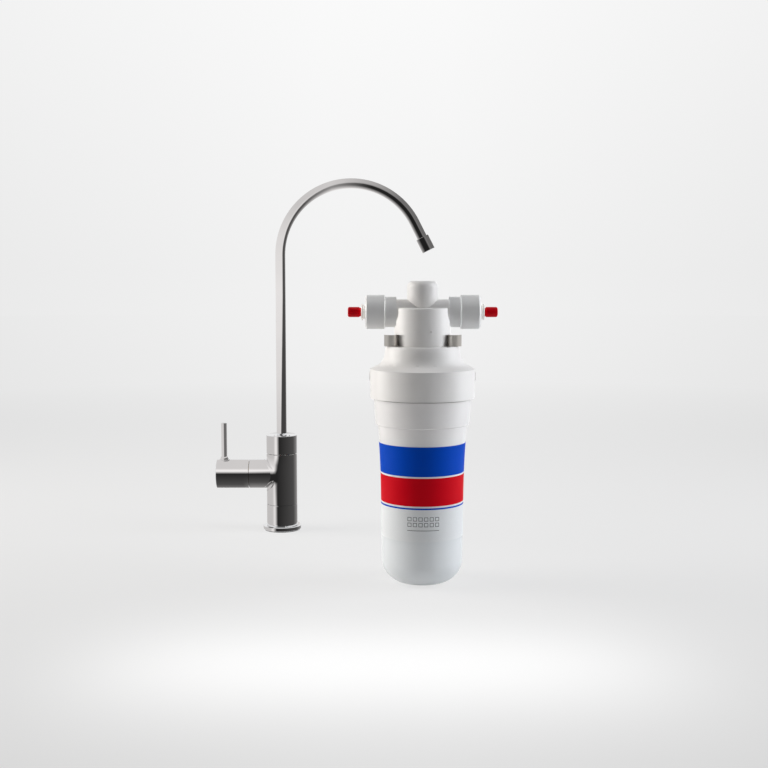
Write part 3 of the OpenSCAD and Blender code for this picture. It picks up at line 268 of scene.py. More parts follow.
def moulded_plastic(name, colour, gloss, peel_depth, dust=0.06, mottle=0.035,
                    level=0.5, painted_low_cast=None, moulding_marks=False):
    """Moulded plastic: faint mottling, orange peel, dull patches, settled dust, and low down a painted
    cast of light when one is given.
    """
    material, tree, shader = start_material(name, IOR=1.5, Specular_IOR_Level=level)
    skin = use_group(tree, moulded_skin, Flow=42.0)
    marks = use_group(tree, handling_marks, Amount=0.09)
    dusty = use_group(tree, settled_dust, Amount=dust)
    pale = [min(1.0, c * (1 + mottle)) for c in colour] + [1.0]
    deep = [c * (1 - mottle) for c in colour] + [1.0]
    toned = blend_colours(tree, skin["Mottle"], deep, pale)
    # Painted cool cast of light: below these heights the colour eases into the cooler one.
    if painted_low_cast:
        toned = blend_colours(tree, climbing(tree, 0.045, 0.125), (*painted_low_cast, 1.0), toned)
    dusted = blend_colours(tree, dusty["Mask"], toned, (0.62, 0.60, 0.57, 1.0))
    tree.links.new(dusted, shader.inputs["Base Color"])
    rough = maths(tree, "ADD", marks["Dulling"], gloss)
    rough = maths(tree, "ADD", rough, maths(tree, "MULTIPLY", dusty["Mask"], 0.4), clamp=True)
    tree.links.new(rough, shader.inputs["Roughness"])
    bump = add_node(tree, "ShaderNodeBump", {
        "Height": skin["Height"], "Strength": 0.35, "Distance": peel_depth})
    if moulding_marks:
        left_by_mould = use_group(tree, mould_marks)
        relief = add_node(tree, "ShaderNodeBump", {
            "Height": left_by_mould["Height"], "Strength": 0.8, "Distance": 0.00012,
            "Normal": bump.outputs[0]})
        bump = relief
    tree.links.new(bump.outputs[0], shader.inputs["Normal"])
    return material


FINISH = {
    "white_moulding": moulded_plastic("white_moulding", (0.82, 0.81, 0.80), 0.32, 0.00009,
                                      level=0.26, moulding_marks=True),
    # The shell's cooler colour near its foot is a painted cast of light.
    "shell_white": moulded_plastic("shell_white", (0.83, 0.82, 0.82), 0.22, 0.00006,
                                   painted_low_cast=(0.795, 0.83, 0.85)),
    "fitting_white": moulded_plastic("fitting_white", (0.81, 0.815, 0.815), 0.42, 0.00012),
    "collet_white": moulded_plastic("collet_white", (0.80, 0.775, 0.745), 0.30, 0.00005),
    "inner_plastic": moulded_plastic("inner_plastic", (0.70, 0.70, 0.66), 0.38, 0.00006),
    "plug_red": moulded_plastic("plug_red", (0.56, 0.0, 0.006), 0.34, 0.00007, dust=0.0,
                                mottle=0.12, level=0.08),
}
print("plastics:", sorted(FINISH))

# %% [markdown]
# ## The printed label
#
# The label is a satin film with printed fields. Real print is not a flat colour: a screen
# leaves tiny dots in the ink, and the film's surface waves a little over the shell. The dots and
# the wave are what tell the eye that a colour is printed and not moulded.
#
# The white part under the bands carries a fitting-date grid, two rows of small empty boxes to tick.
# It is drawn from maths: the angle round the shell and the height give a flat pair of
# coordinates, and each box is where both fall inside a cell but near its rim.

# %% Print helpers
LABEL_RADIUS = 33.6 * MM


def label_coordinates(tree):
    """Distance round the shell from the front, and height, both in metres."""
    split = add_node(tree, "ShaderNodeSeparateXYZ", {0: place_on_object(tree)})
    toward_viewer = maths(tree, "MULTIPLY", split.outputs["Y"], -1.0)
    angle = maths(tree, "ARCTAN2", split.outputs["X"], toward_viewer)
    return maths(tree, "MULTIPLY", angle, LABEL_RADIUS), split.outputs["Z"]


def between(tree, value, low, high):
    """1 where the value lies between low and high, else 0."""
    above = maths(tree, "GREATER_THAN", value, low)
    below = maths(tree, "LESS_THAN", value, high)
    return maths(tree, "MULTIPLY", above, below)


def box_outlines(tree, across, up, rows, left, right, pitch, half_box, line):
    """A mask of square outlines in one or more rows, each row given by its middle height."""
    cell = maths(tree, "PINGPONG", maths(tree, "SUBTRACT", across, left), pitch / 2)
    from_middle_x = maths(tree, "SUBTRACT", pitch / 2, cell)
    inside_row = between(tree, across, left, right)
    total = None
    for middle in rows:
        off = maths(tree, "ABSOLUTE", maths(tree, "SUBTRACT", up, middle))
        reach = maths(tree, "MAXIMUM", off, from_middle_x)
        ring = between(tree, reach, half_box - line, half_box)
        ring = maths(tree, "MULTIPLY", ring, inside_row)
        total = ring if total is None else maths(tree, "MAXIMUM", total, ring)
    return total


# %% Label finishes
FILM_GLOSS = 0.48
SCREEN = 0.04


def printed_film(name, ink):
    """Film with a printed colour: fine screen dots, a slow wave and a low sheen."""
    material, tree, shader = start_material(name, Specular_IOR_Level=0.035)
    skin = use_group(tree, moulded_skin, Peel=260.0, Flow=25.0)
    dots = add_node(tree, "ShaderNodeTexVoronoi", {"Vector": place_on_object(tree), "Scale": 3600.0})
    dot_mask = add_node(tree, "ShaderNodeMapRange", {
        "Value": dots.outputs["Distance"], "From Min": 0.3, "From Max": 0.7})
    pale = [min(1.0, c * (1 + SCREEN) + SCREEN * 0.02) for c in ink] + [1.0]
    deep = [c * (1 - SCREEN) for c in ink] + [1.0]
    dotted = blend_colours(tree, dot_mask.outputs[0], deep, pale)
    worn = blend_colours(tree, maths(tree, "MULTIPLY", skin["Mottle"], 0.12), dotted, pale)
    tree.links.new(worn, shader.inputs["Base Color"])
    marks = use_group(tree, handling_marks, Amount=0.14)
    tree.links.new(maths(tree, "ADD", marks["Dulling"], FILM_GLOSS), shader.inputs["Roughness"])
    bump = add_node(tree, "ShaderNodeBump", {
        "Height": skin["Height"], "Strength": 0.3, "Distance": 0.00004})
    tree.links.new(bump.outputs[0], shader.inputs["Normal"])
    return material, tree, shader, worn


FINISH["label_blue"] = printed_film("label_blue", (0.0, 0.062, 0.50))[0]
FINISH["label_red"] = printed_film("label_red", (0.62, 0.001, 0.010))[0]
FINISH["label_white"], tree, shader, plain_white = printed_film("label_white", (0.79, 0.815, 0.83))
around, height = label_coordinates(tree)
DATE_ROWS = (58.2 * MM, 53.6 * MM)
grid = box_outlines(tree, around, height, DATE_ROWS, -13.5 * MM, 13.5 * MM,
                    pitch=4.5 * MM, half_box=1.6 * MM, line=0.38 * MM)
rule = maths(tree, "MULTIPLY", between(tree, height, 48.7 * MM, 49.1 * MM),
             between(tree, around, -13.0 * MM, 13.0 * MM))
printed = maths(tree, "MAXIMUM", grid, rule)
inked = blend_colours(tree, printed, plain_white, (0.03, 0.035, 0.05, 1.0))
tree.links.new(inked, shader.inputs["Base Color"])
print("label finishes ready")

# %% [markdown]
# ## Metals
#
# The tap is brass under polished chrome. Chrome has almost no colour of its own, so it looks like
# whatever stands round it, and only three things of its own show: a very slightly cool tint, a
# roughness that rises where fingers have been, and a long shallow wave left by the polishing wheel.
#
# The wall clip and the screws are stainless steel with a grain. The inner brass pieces are turned
# on a lathe, which leaves rings across their axis.


# %% Chrome
def polished_chrome(name):
    """Bright plating: mirror-like, with a slow polishing wave and faint finger marks."""
    material, tree, shader = start_material(name, Metallic=1.0)
    marks = use_group(tree, handling_marks, Patch=45.0, Streak=420.0, Amount=0.16)
    skin = use_group(tree, moulded_skin, Peel=70.0, Flow=60.0)
    toned = blend_colours(tree, skin["Mottle"], (0.83, 0.835, 0.85, 1), (0.90, 0.90, 0.905, 1))
    tree.links.new(toned, shader.inputs["Base Color"])
    tree.links.new(maths(tree, "ADD", marks["Dulling"], 0.045), shader.inputs["Roughness"])
    bump = add_node(tree, "ShaderNodeBump", {
        "Height": skin["Height"], "Strength": 0.25, "Distance": 0.00035})
    tree.links.new(bump.outputs[0], shader.inputs["Normal"])
    return material


# %% Steel and brass
def grained_metal(name, dark, light, gloss, along_x, along_z, per_metre, depth):
    """Metal with a one-way grain: the same rings drive its tone, its gloss and its relief."""
    material, tree, shader = start_material(name, Metallic=1.0)
    rings = use_group(tree, fine_rings, **{"Along X": along_x, "Along Z": along_z,
                                           "Per Metre": per_metre})
    marks = use_group(tree, handling_marks, Patch=60.0, Amount=0.12)
    toned = blend_colours(tree, rings["Height"], (*dark, 1), (*light, 1))
    tree.links.new(toned, shader.inputs["Base Color"])
    rough = maths(tree, "MULTIPLY", rings["Height"], 0.14)
    rough = maths(tree, "ADD", maths(tree, "ADD", rough, marks["Dulling"]), gloss)
    tree.links.new(rough, shader.inputs["Roughness"])
    bump = add_node(tree, "ShaderNodeBump", {
        "Height": rings["Height"], "Strength": 0.3, "Distance": depth})
    tree.links.new(bump.outputs[0], shader.inputs["Normal"])
    return material


FINISH["chrome"] = polished_chrome("chrome")
FINISH["spring_steel"] = grained_metal("spring_steel", (0.53, 0.508, 0.474), (0.64, 0.612, 0.572),
                                       0.24, 0.0, 1.0, 5200.0, 0.00001)
FINISH["screw_steel"] = grained_metal("screw_steel", (0.46, 0.46, 0.46), (0.62, 0.62, 0.62),
                                      0.22, 0.6, 1.0, 4200.0, 0.00003)
FINISH["brass"] = grained_metal("brass", (0.52, 0.35, 0.13), (0.70, 0.50, 0.22),
                                0.20, 0.9, 1.0, 3600.0, 0.00004)
print("metals ready")

# %% [markdown]
# ## Rubber, carbon, felt and ceramic
#
# These mostly hide inside, and show when the cartridge is out or from underneath. Rubber is dull
# with a bloom that turns it grey in patches. The carbon block is sintered from grains, which we
# draw with a cell texture. The felt wrap is a tangle of fibres, for which a noise stretched
# by its own distortion is close enough. The valve discs are lapped ceramic, smooth and creamy.


# %% Soft and mineral finishes
def speckled(name, dark, light, scale, gloss, depth, cells=False, distort=0.0, **sockets):
    """A surface of grains or fibres: one texture gives its tone and its relief."""
    material, tree, shader = start_material(name, **sockets)
    point = place_on_object(tree)
    if cells:
        grain = add_node(tree, "ShaderNodeTexVoronoi", {"Vector": point, "Scale": scale})
        value = grain.outputs["Distance"]
    else:
        grain = add_node(tree, "ShaderNodeTexNoise", {
            "Vector": point, "Scale": scale, "Detail": 5.0, "Distortion": distort})
        value = grain.outputs["Fac"]
    tree.links.new(blend_colours(tree, value, (*dark, 1), (*light, 1)), shader.inputs["Base Color"])
    marks = use_group(tree, handling_marks, Amount=0.2)
    tree.links.new(maths(tree, "ADD", marks["Dulling"], gloss), shader.inputs["Roughness"])
    bump = add_node(tree, "ShaderNodeBump", {"Height": value, "Strength": 0.5, "Distance": depth})
    tree.links.new(bump.outputs[0], shader.inputs["Normal"])
    return material


FINISH["seal_rubber"] = speckled("seal_rubber", (0.010, 0.010, 0.011), (0.034, 0.033, 0.032),
                                 700.0, 0.48, 0.00006)
FINISH["carbon"] = speckled("carbon", (0.006, 0.006, 0.006), (0.05, 0.05, 0.05),
                            1500.0, 0.7, 0.0003, cells=True)
FINISH["felt"] = speckled("felt", (0.62, 0.62, 0.57), (0.82, 0.82, 0.78),
                          900.0, 0.85, 0.0004, distort=2.5, Sheen_Weight=0.4)
FINISH["ceramic"] = speckled("ceramic", (0.80, 0.79, 0.75), (0.87, 0.86, 0.83),
                             400.0, 0.10, 0.00001)
print("finishes:", len(FINISH))

# %% [markdown]
# ## Finishes onto the CAD nodes
#
# The record says which slot each node has, and our finishes use the slots' names, so one loop
# dresses every node. The CAD mesh arrives as loose triangles with flat shading. A Weld modifier
# joins them, smooth shading rounds the light over them, and an Edge Split keeps the real edges
# crisp. The mesh underneath stays as it was.

# %% Dress the nodes
CREASE = math.radians(32)
slot_of = {part["node"]: part["material_slot"] for part in frame["record"]["subparts"]}


def smooth_skin(piece):
    """Joins loose triangles, shades them smoothly and keeps edges sharper than the crease."""
    weld = piece.modifiers.new("weld", "WELD")
    weld.merge_threshold = 0.000002
    piece.data.polygons.foreach_set("use_smooth", [True] * len(piece.data.polygons))
    crease = piece.modifiers.new("crease", "EDGE_SPLIT")
    crease.split_angle = CREASE
    crease.use_edge_sharp = False


for name, node in frame["nodes"].items():
    node.data.materials.clear()
    node.data.materials.append(FINISH[slot_of[name]])
    smooth_skin(node)
print("dressed", len(slot_of), "nodes")

# %% [markdown]
# ## The aerator's mesh
#
# Look up into the end of the spout and you see a disc of woven steel wire that breaks up the flow.
# Each wire is a thin rod made with a cone operator, in two layers that cross. Every wire's length is
# the chord of the round mouth, so the weave ends at the rim. A matrix stands the weave on the axis of
# the spout's end, which follows from the arch's radius and sweep.

# %% Frame of the spout's end
TAP_AXIS = Vector((-132.3, 198, 0)) * MM
ARCH_CENTRE_Z = 270.5 * MM
ARCH_RADIUS = 69.1 * MM
ARCH_SWEEP = math.radians(153)
END_LENGTH = 18.8 * MM


def at_spout_end(beyond):
    """Matrix that stands +Z along the flow, with its origin this far past the spout's end."""
    turn = ARCH_SWEEP
    centre = TAP_AXIS + Vector((ARCH_RADIUS, 0, ARCH_CENTRE_Z))
    outward = Vector((-math.cos(turn), 0, math.sin(turn)))
    flow = Vector((math.sin(turn), 0, math.cos(turn)))
    start = centre + outward * ARCH_RADIUS + flow * (END_LENGTH + beyond)
    side = Vector((0, 1, 0))
    across = side.cross(flow)
    return Matrix((
        (across.x, side.x, flow.x, start.x),
        (across.y, side.y, flow.y, start.y),
        (across.z, side.z, flow.z, start.z),
        (0, 0, 0, 1),
    ))


print("spout end at", at_spout_end(0).translation)


# %% Finish a new piece
def finish_piece(name, mesh, slot, body):
    """Makes a bmesh an object with its finish, and lets it ride on its CAD body."""
    data = bpy.data.meshes.new(name)
    mesh.to_mesh(data)
    mesh.free()
    data.polygons.foreach_set("use_smooth", [True] * len(data.polygons))
    piece = bpy.data.objects.new(name, data)
    data.materials.append(FINISH[slot])
    scene.collection.objects.link(piece)
    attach(piece, body)
    print(name, len(data.polygons), "faces")
    return piece


# %% Weave the wires
MESH_RADIUS = 5.1 * MM
WIRE_RADIUS = 0.13 * MM
WIRE_PITCH = 0.85 * MM
MESH_BEYOND = 10.75 * MM

weave = bmesh.new()
reach = int(MESH_RADIUS / WIRE_PITCH)
for layer, turn in enumerate((0, math.radians(90))):
    for i in range(-reach, reach + 1):
        off = i * WIRE_PITCH
        chord = 2 * math.sqrt(MESH_RADIUS ** 2 - off ** 2)
        lie_down = Matrix.Rotation(math.radians(90), 4, "X")
        place = (Matrix.Rotation(turn, 4, "Z")
                 @ Matrix.Translation((off, 0, layer * 2 * WIRE_RADIUS)) @ lie_down)
        bmesh.ops.create_cone(weave, cap_ends=True, segments=8, radius1=WIRE_RADIUS,
                              radius2=WIRE_RADIUS, depth=chord, matrix=place)
bmesh.ops.transform(weave, matrix=at_spout_end(MESH_BEYOND), verts=weave.verts)
finish_piece("aerator_mesh", weave, "screw_steel", "spout")

# %% [markdown]
# ## Studio
#
# The photograph is a cut-out on a pale sheet, brighter at the top and with a pool of light on the
# floor in front. We keep that look in the stage and not in the lamps. The floor's shader has two
# parts: a plain white that takes shadows and bounces light, and a glow that only the camera and
# mirror-like rays see. The glow's brightness is painted over the floor from Object coordinates.
#
# The world does the rest of the backdrop: pale and brighter overhead for those rays, and a quiet
# grey for the light that it sheds.

# %% Floor
FLOOR_RADIUS = 6.0


def pool_of_light(tree, across, ahead):
    """A soft bright patch on the floor in front of the set, as a mask."""
    dx = maths(tree, "DIVIDE", maths(tree, "SUBTRACT", across, CAMERA_AT.x), 0.19)
    dy = maths(tree, "DIVIDE", maths(tree, "ADD", ahead, 0.22), 0.095)
    spread = maths(tree, "ADD", maths(tree, "POWER", maths(tree, "ABSOLUTE", dx), 4.0),
                   maths(tree, "MULTIPLY", dy, dy))
    return maths(tree, "EXPONENT", maths(tree, "MULTIPLY", spread, -1.0))


def seen_directly(tree):
    """1 for camera, mirror and glass rays, else 0."""
    path = tree.nodes.new("ShaderNodeLightPath").outputs
    seen = maths(tree, "MAXIMUM", path["Is Camera Ray"], path["Is Glossy Ray"])
    return maths(tree, "MAXIMUM", seen, path["Is Transmission Ray"])


sheet = bpy.data.materials.new("studio_sheet")
sheet.use_nodes = True
tree = sheet.node_tree
tree.nodes.clear()
split = add_node(tree, "ShaderNodeSeparateXYZ", {0: place_on_object(tree)})
distance = add_node(tree, "ShaderNodeVectorMath", {0: place_on_object(tree)}, operation="LENGTH")
ahead = maths(tree, "MAXIMUM", maths(tree, "SUBTRACT", split.outputs["Y"], CAMERA_AT.y), 0.5)
nearness = maths(tree, "DIVIDE", 1.0, ahead)
sideways = maths(tree, "ABSOLUTE", maths(tree, "SUBTRACT", split.outputs["X"], CAMERA_AT.x))
turned = maths(tree, "DIVIDE", sideways, ahead)
base = maths(tree, "SUBTRACT", 0.90, maths(tree, "MULTIPLY", nearness, 0.10))
pool = maths(tree, "MULTIPLY", pool_of_light(tree, split.outputs["X"], split.outputs["Y"]), 0.27)
vignette = add_node(tree, "ShaderNodeMapRange", {
    "Value": turned, "From Min": 0.05, "From Max": 0.32, "To Min": 1.0, "To Max": 0.925})
far = add_node(tree, "ShaderNodeMapRange", {
    "Value": distance.outputs["Value"], "From Min": 0.5, "From Max": 1.8, "To Min": 0.0, "To Max": 1.0})
lift = maths(tree, "MULTIPLY", maths(tree, "SUBTRACT", 1.0, far.outputs[0]), 0.06)
base = maths(tree, "MULTIPLY", maths(tree, "ADD", base, lift), vignette.outputs[0])
glow_value = maths(tree, "ADD", base, pool)
to_the_left = add_node(tree, "ShaderNodeMapRange", {
    "Value": split.outputs["X"], "From Min": -0.22, "From Max": -0.50, "To Min": 1.0, "To Max": 0.78})
mirrored = maths(tree, "MULTIPLY", glow_value, to_the_left.outputs[0])
camera_ray = tree.nodes.new("ShaderNodeLightPath").outputs["Is Camera Ray"]
shown = add_node(tree, "ShaderNodeMix", {0: camera_ray, 2: mirrored, 3: glow_value})
glow = add_node(tree, "ShaderNodeEmission", {"Strength": shown.outputs[0]})
matt = add_node(tree, "ShaderNodeBsdfDiffuse", {"Color": (0.8, 0.8, 0.8, 1)})
share = maths(tree, "ADD", maths(tree, "MULTIPLY", far.outputs[0], 0.2), 0.8)
share = maths(tree, "MULTIPLY", seen_directly(tree), share)
mixed = add_node(tree, "ShaderNodeMixShader", {0: share, 1: matt.outputs[0], 2: glow.outputs[0]})
output = tree.nodes.new("ShaderNodeOutputMaterial")
tree.links.new(mixed.outputs[0], output.inputs[0])

disc = bmesh.new()
bmesh.ops.create_circle(disc, cap_ends=True, segments=96, radius=FLOOR_RADIUS)
floor_data = bpy.data.meshes.new("studio_floor")
disc.to_mesh(floor_data)
disc.free()
floor_data.materials.append(sheet)
studio_floor = bpy.data.objects.new("studio_floor", floor_data)
scene.collection.objects.link(studio_floor)

# %% World
ROOM_STEPS = ((0.0, 0.86), (0.2, 0.88), (0.34, 0.95), (0.6, 0.80), (0.9, 0.68), (1.0, 0.68))

world = bpy.data.worlds.new("studio_world")
scene.world = world
world.use_nodes = True
tree = world.node_tree
tree.nodes.clear()
direction = tree.nodes.new("ShaderNodeTexCoord").outputs["Generated"]
split = add_node(tree, "ShaderNodeSeparateXYZ", {0: direction})
climb = add_node(tree, "ShaderNodeMapRange", {
    "Value": split.outputs["Z"], "From Min": 0.0, "From Max": 0.22, "To Min": 0.885, "To Max": 0.955})
aside = maths(tree, "ABSOLUTE", split.outputs["X"])
edge = add_node(tree, "ShaderNodeMapRange", {
    "Value": aside, "From Min": 0.05, "From Max": 0.32, "To Min": 1.0, "To Max": 0.93})
sky = maths(tree, "MULTIPLY", climb.outputs[0], edge.outputs[0])
room = add_node(tree, "ShaderNodeValToRGB", {0: split.outputs["Z"]})
ramp = room.color_ramp
for place, value in ROOM_STEPS:
    step = ramp.elements[0] if place == 0.0 else ramp.elements[-1] if place == 1.0 \
        else ramp.elements.new(place)
    step.color = (value, value, value, 1)
# A dark wall behind the camera gives bright metal a dark line, also where a spout is turned away
# from its card.
dark_wall = add_node(tree, "ShaderNodeMapRange", {
    "Value": split.outputs["Y"], "From Min": -0.86, "From Max": -0.60, "To Min": 0.14, "To Max": 1.0})
mirrored = maths(tree, "MULTIPLY", room.outputs[0], dark_wall.outputs[0])
path = tree.nodes.new("ShaderNodeLightPath").outputs
shown = add_node(tree, "ShaderNodeMix", {0: path["Is Camera Ray"], 2: mirrored, 3: sky})
backdrop = add_node(tree, "ShaderNodeBackground", {"Color": (1, 1, 1, 1), "Strength": shown.outputs[0]})
shed = add_node(tree, "ShaderNodeBackground", {"Color": (0.082, 0.082, 0.084, 1), "Strength": 1.0})
mixed = add_node(tree, "ShaderNodeMixShader",
                 {0: seen_directly(tree), 1: shed.outputs[0], 2: backdrop.outputs[0]})
output = tree.nodes.new("ShaderNodeOutputWorld")
tree.links.new(mixed.outputs[0], output.inputs[0])

# %% [markdown]
# ## Lamps
#
# The filter in the photograph is grey down its middle and bright along both sides, so its light
# comes from two large soft boxes that stand beside it and slightly behind. The left one is a
# little warmer. A weak lamp high above the set keeps the middle from going flat.


# %% Soft boxes
LAMPS_AIM_AT = Vector((-0.05, 0.08, 0.14))


def soft_box(name, azimuth, distance, height, size, watts, colour):
    """An area lamp at this azimuth from the camera side, aimed at the set's middle."""
    data = bpy.data.lights.new(name, "AREA")
    data.shape = "RECTANGLE"
    data.size, data.size_y = size
    data.energy = watts
    data.color = colour
    lamp = bpy.data.objects.new(name, data)
    angle = math.radians(azimuth)
    lamp.location = (LAMPS_AIM_AT.x + math.sin(angle) * distance,
                     LAMPS_AIM_AT.y - math.cos(angle) * distance, height)
    lamp.rotation_euler = (LAMPS_AIM_AT - lamp.location).to_track_quat("-Z", "Y").to_euler()
    lamp.visible_camera = False
    scene.collection.objects.link(lamp)
    return lamp


left_box = soft_box("left_box", -94, 1.0, 0.36, (0.7, 1.3), 16.3, (1.0, 0.97, 0.93))
right_box = soft_box("right_box", 87, 1.0, 0.36, (0.7, 1.3), 12.7, (0.95, 0.97, 1.0))
top_fill = soft_box("top_fill", 0, 0.15, 1.2, (0.6, 0.6), 1.4, (1.0, 1.0, 1.0))

# %% [markdown]
# The boxes would burn white patches into anything that mirrors them. A photographer would flag them
# off the tap. Here, light linking does it: the boxes leave out the chrome and steel pieces,
# which get their light from the pale room instead.

# %% Keep the boxes off the metal
metal_pieces = bpy.data.collections.new("metal_pieces")
for name, node in frame["nodes"].items():
    if slot_of[name] in ("chrome", "spring_steel"):
        metal_pieces.objects.link(node)
for lamp in (left_box, right_box, top_fill):
    lamp.light_linking.receiver_collection = metal_pieces
for child in metal_pieces.collection_objects:
    child.light_linking.link_state = "EXCLUDE"

# %% [markdown]
# In the photograph the head is bright down both its sides, although the ports stand in the way of
# light from there. So light linking also lets the side boxes shine past the port pieces: they cast
# no shade of those boxes, but they are lit like the rest.

# %% Let the side boxes shine past the ports
port_pieces = bpy.data.collections.new("port_pieces")
for name, node in frame["nodes"].items():
    if name.startswith(("inlet_", "outlet_")):
        port_pieces.objects.link(node)
for lamp in (left_box, right_box):
    lamp.light_linking.blocker_collection = port_pieces
for child in port_pieces.collection_objects:
    child.light_linking.link_state = "EXCLUDE"

# %% [markdown]
# ## Cards round the chrome
#
# A photographer shapes chrome by standing black and grey cards round it, just out of the picture.
# The tap in the photograph is light on its left and nearly black on its right, under its barrel and
# along the inside of its arch. Our cards are painted reflections: they stand close to the tap and glow,
# but only mirror-like rays see them, so they cast no shadow and never show themselves.
#
# A card is a ribbon stretched between rails of points. Each point also carries a glow, from black to
# white, which paints the reflection's brightness there, so that a card can fade out as a real one does
# when it is lit at an angle.


# %% Card material
painted_reflection_sheet = bpy.data.materials.new("painted_reflection_sheet")
painted_reflection_sheet.use_nodes = True
tree = painted_reflection_sheet.node_tree
tree.nodes.clear()
painted = add_node(tree, "ShaderNodeAttribute", attribute_name="glow")
# The glow is a painted reflection: an emission that sets the tone the chrome mirrors at each point.
lit = add_node(tree, "ShaderNodeEmission", {
    "Color": (1.0, 0.965, 0.945, 1), "Strength": painted.outputs["Fac"]})
output = tree.nodes.new("ShaderNodeOutputMaterial")
tree.links.new(lit.outputs[0], output.inputs[0])


def ribbon(name, *rails):
    """A card of painted reflection between rails of points, each x, y, z in millimetres and a glow."""
    mesh = bmesh.new()
    glow = mesh.verts.layers.float.new("glow")
    rows = []
    for rail in rails:
        row = [mesh.verts.new((x * MM, y * MM, z * MM)) for x, y, z, value in rail]
        for vert, (x, y, z, value) in zip(row, rail):
            vert[glow] = value
        rows.append(row)
    for low, high in zip(rows, rows[1:]):
        for corners in zip(low, low[1:], high[1:], high):
            mesh.faces.new(corners)
    data = bpy.data.meshes.new(name)
    mesh.to_mesh(data)
    mesh.free()
    data.materials.append(painted_reflection_sheet)
    card = bpy.data.objects.new(name, data)
    scene.collection.objects.link(card)
    for kind in ("camera", "diffuse", "transmission", "volume_scatter", "shadow"):
        setattr(card, "visible_" + kind, False)
    return card


# %% [markdown]
# Each card is a close sleeve round one limb of the tap. Its glow is given by the angle round that
# limb. For an upright limb the angle is 0 towards the camera and 90 to the right.
#
# Every sleeve follows one plan: a light side, a bright line, then black that eases into grey, and a
# lighter rim. Only the tones and the place of the dark part differ from limb to limb, so one function
# gives them all. Behind each limb stands a simpler card with one dark line, for anyone who looks at
# the tap from the back.

# %% The plan of a sleeve
BLACK = 0.02
GREY = 0.08
SOFT_EDGE = 12
TAP_X, TAP_Y = TAP_AXIS.x / MM, TAP_AXIS.y / MM


def between_stops(at, stops):
    """The value at this place on a list of (place, value) stops, along a straight line."""
    for (low, first), (high, second) in zip(stops, stops[1:]):
        if at <= high:
            return first + (second - first) * max(0.0, at - low) / (high - low)
    return stops[-1][1]


def fan_out(stops, points=49):
    """Evenly spaced angles over the stops, each with its glow, so that a card bends smoothly."""
    start, end = stops[0][0], stops[-1][0]
    turns = [start + (end - start) * i / (points - 1) for i in range(points)]
    return [(turn, between_stops(turn, stops)) for turn in turns]


def shade(light, bright, dark_from, dark_to, rim, black=BLACK, grey=GREY, reach=98):
    """Angles and glows of a sleeve: light side, bright line, dark part and rim."""
    return fan_out([
        (-reach, light), (dark_from - 2 * SOFT_EDGE, light), (dark_from - SOFT_EDGE, bright),
        (dark_from, black), (dark_to, grey), (max(reach - 1, dark_to + 1), rim), (reach + 2, rim)])


def back_line(half):
    """Angles and glows of a card behind a limb: pale, with one dark line down its middle."""
    return fan_out([(180 - half, 0.8), (168, 0.4), (174, BLACK), (184, BLACK), (192, 0.4),
                    (180 + half, 0.8)], points=15)


def upright(x, z, radius, stops):
    """A rail round an upright line at this x, one point for each angle."""
    return [(x + radius * math.sin(math.radians(turn)), TAP_Y - radius * math.cos(math.radians(turn)),
             z, value) for turn, value in stops]


print("plan ready")

# %% [markdown]
# The first sleeves go round the body, its flange and the lever's pin. Where the barrel joins, the
# body's light side takes the barrel's own tones: black low down, bright above.

# %% Cards round the body, the flange and the pin
BODY_RADIUS = 17.5
BODY = shade(0.6, 0.9, -16, 60, 0.35)
ribbon("body_card", *[upright(TAP_X, z, BODY_RADIUS, stops) for z, stops in (
    (6, BODY),
    (45, BODY),
    (49, shade(BLACK, BLACK, -16, 60, 0.35)),
    (57, shade(BLACK, BLACK, -16, 60, 0.35)),
    (61, shade(1.0, 1.0, -16, 60, 0.35)),
    (66, shade(0.8, 0.8, -14, 60, 0.35)),
    (73, shade(0.6, 1.0, -8, 60, 0.35)),
    (94, shade(0.6, 1.0, -8, 60, 0.35)))])

FLANGE_RADIUS = 21.5
ribbon("flange_card", *[upright(TAP_X, z, FLANGE_RADIUS, BODY) for z in (0.3, 5.5)])
ribbon("body_back_card", *[upright(TAP_X, z, FLANGE_RADIUS, back_line(50)) for z in (0.3, 96)])

PIN_X = -189.1
PIN = shade(0.7, 0.7, 4, 50, 0.35, black=0.15, grey=0.15)
ribbon("pin_card", *[upright(PIN_X, z, radius, PIN)
                     for z, radius in ((69.9, 5.4), (73.5, 4.6), (106, 4.3))])

# %% [markdown]
# The next sleeve lies round the barrel. Its angle is 0 towards the camera and negative upwards, so
# that its light side is on top and its dark part below. The side barrel is lighter underneath than
# the lever's, because it looks down on the pale floor beside the body.

# %% Cards round the barrel
BARREL_Z = 55.8
BARREL_SLEEVE = 17


def round_barrel(x, radius, stops):
    """A rail round the barrel's axis at this x, one point for each angle."""
    return [(x, TAP_Y - radius * math.cos(math.radians(turn)),
             BARREL_Z - radius * math.sin(math.radians(turn)), value) for turn, value in stops]


UNDER_LEVER = shade(0.7, 1.1, -8, 50, 0.25)
UNDER_SIDE = shade(0.7, 1.1, -8, 34, 0.4)
ribbon("barrel_card", *[round_barrel(x, BARREL_SLEEVE, stops) for x, stops in (
    (-199, UNDER_LEVER), (-170, UNDER_LEVER), (-162, UNDER_SIDE), (-141, UNDER_SIDE))])
ribbon("barrel_back_card", *[round_barrel(x, BARREL_SLEEVE + 2, back_line(38)) for x in (-199, -143)])

# %% [markdown]
# The last sleeve follows the spout: up the straight tube, over the arch and along its straight end.
# Its angle is negative on the arch's outside, 0 towards the camera and positive on the inside. The
# dark part starts beside the middle, slips to the inner side on the way up, and comes back over the
# arch's far half, where the outer side darkens too and the inner side turns light.

# %% Cards along the spout
SLEEVE_RADIUS, BACK_RADIUS = 8, 10
SLEEVE_REACH = 118


def round_spout(place, radius, stops):
    """A rail round the spout at a point of its middle line, from its outer to its inner side."""
    (x, z), (out_x, out_z) = place
    rail = []
    for turn, value in stops:
        aside, forward = radius * math.sin(math.radians(turn)), radius * math.cos(math.radians(turn))
        rail.append((x - out_x * aside, TAP_Y - forward, z - out_z * aside, value))
    return rail


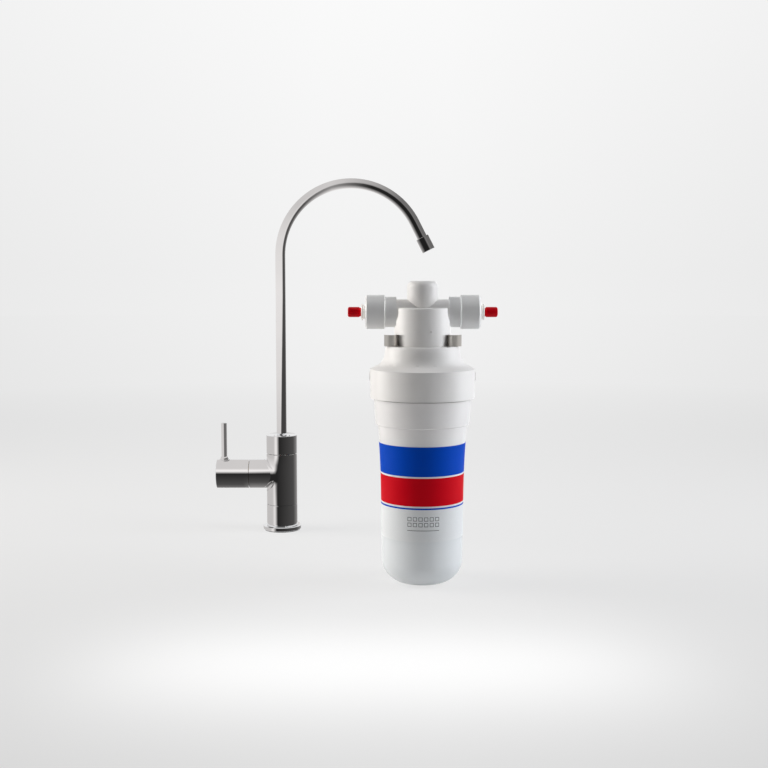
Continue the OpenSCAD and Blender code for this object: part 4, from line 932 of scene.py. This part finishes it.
def arch_point(sweep, beyond=0.0):
    """Middle of the spout at this sweep of the arch or beyond it, and its outward direction."""
    out = (-math.cos(sweep), math.sin(sweep))
    middle = (TAP_X + ARCH_RADIUS / MM * (1 + out[0]) + beyond * math.sin(sweep),
              ARCH_CENTRE_Z / MM + ARCH_RADIUS / MM * out[1] + beyond * math.cos(sweep))
    return middle, out


def spout_point(along):
    """Middle of the spout this far past the start of its arch; below zero is the straight tube."""
    arch_length = ARCH_RADIUS / MM * ARCH_SWEEP
    if along < 0:
        return arch_point(0, along)
    return arch_point(min(along, arch_length) / (ARCH_RADIUS / MM), max(0.0, along - arch_length))


SPOUT_START, SPOUT_STEP, SPOUT_STEPS = -175, 8, 49
# Along the spout in mm: light side, bright line, dark from, dark to, rim, black.
SPOUT_PLAN = (
    (-175, (0.70, 0.80, 0, 75, 0.30, 0.06)),
    (-120, (0.80, 0.90, 16, 75, 0.30, 0.06)),
    (-40, (0.90, 0.80, 45, 80, 0.30, 0.07)),
    (18, (0.80, 0.90, 45, 70, 0.30, 0.08)),
    (55, (0.65, 0.90, 28, 50, 0.60, 0.08)),
    (90, (0.70, 0.70, 6, 25, 1.00, 0.30)),
    (125, (0.50, 0.40, -4, 34, 0.90, 0.02)),
    (160, (0.18, 0.22, -10, 38, 0.80, 0.015)),
    (217, (0.15, 0.22, -12, 38, 0.70, 0.015)),
)


def spout_shade(along):
    """The sleeve's plan at this place, between the two nearest rows."""
    light, bright, dark_from, dark_to, rim, black = (
        between_stops(along, [(at, row[i]) for at, row in SPOUT_PLAN]) for i in range(6))
    return shade(light, bright, dark_from, dark_to, rim, black=black, grey=black,
                 reach=SLEEVE_REACH)


stations = [SPOUT_START + SPOUT_STEP * i for i in range(SPOUT_STEPS + 1)]
ribbon("spout_card", *[round_spout(spout_point(at), SLEEVE_RADIUS, spout_shade(at)) for at in stations])
ribbon("spout_back_card", *[round_spout(spout_point(at), BACK_RADIUS, back_line(24)) for at in stations])
print("cards ready")
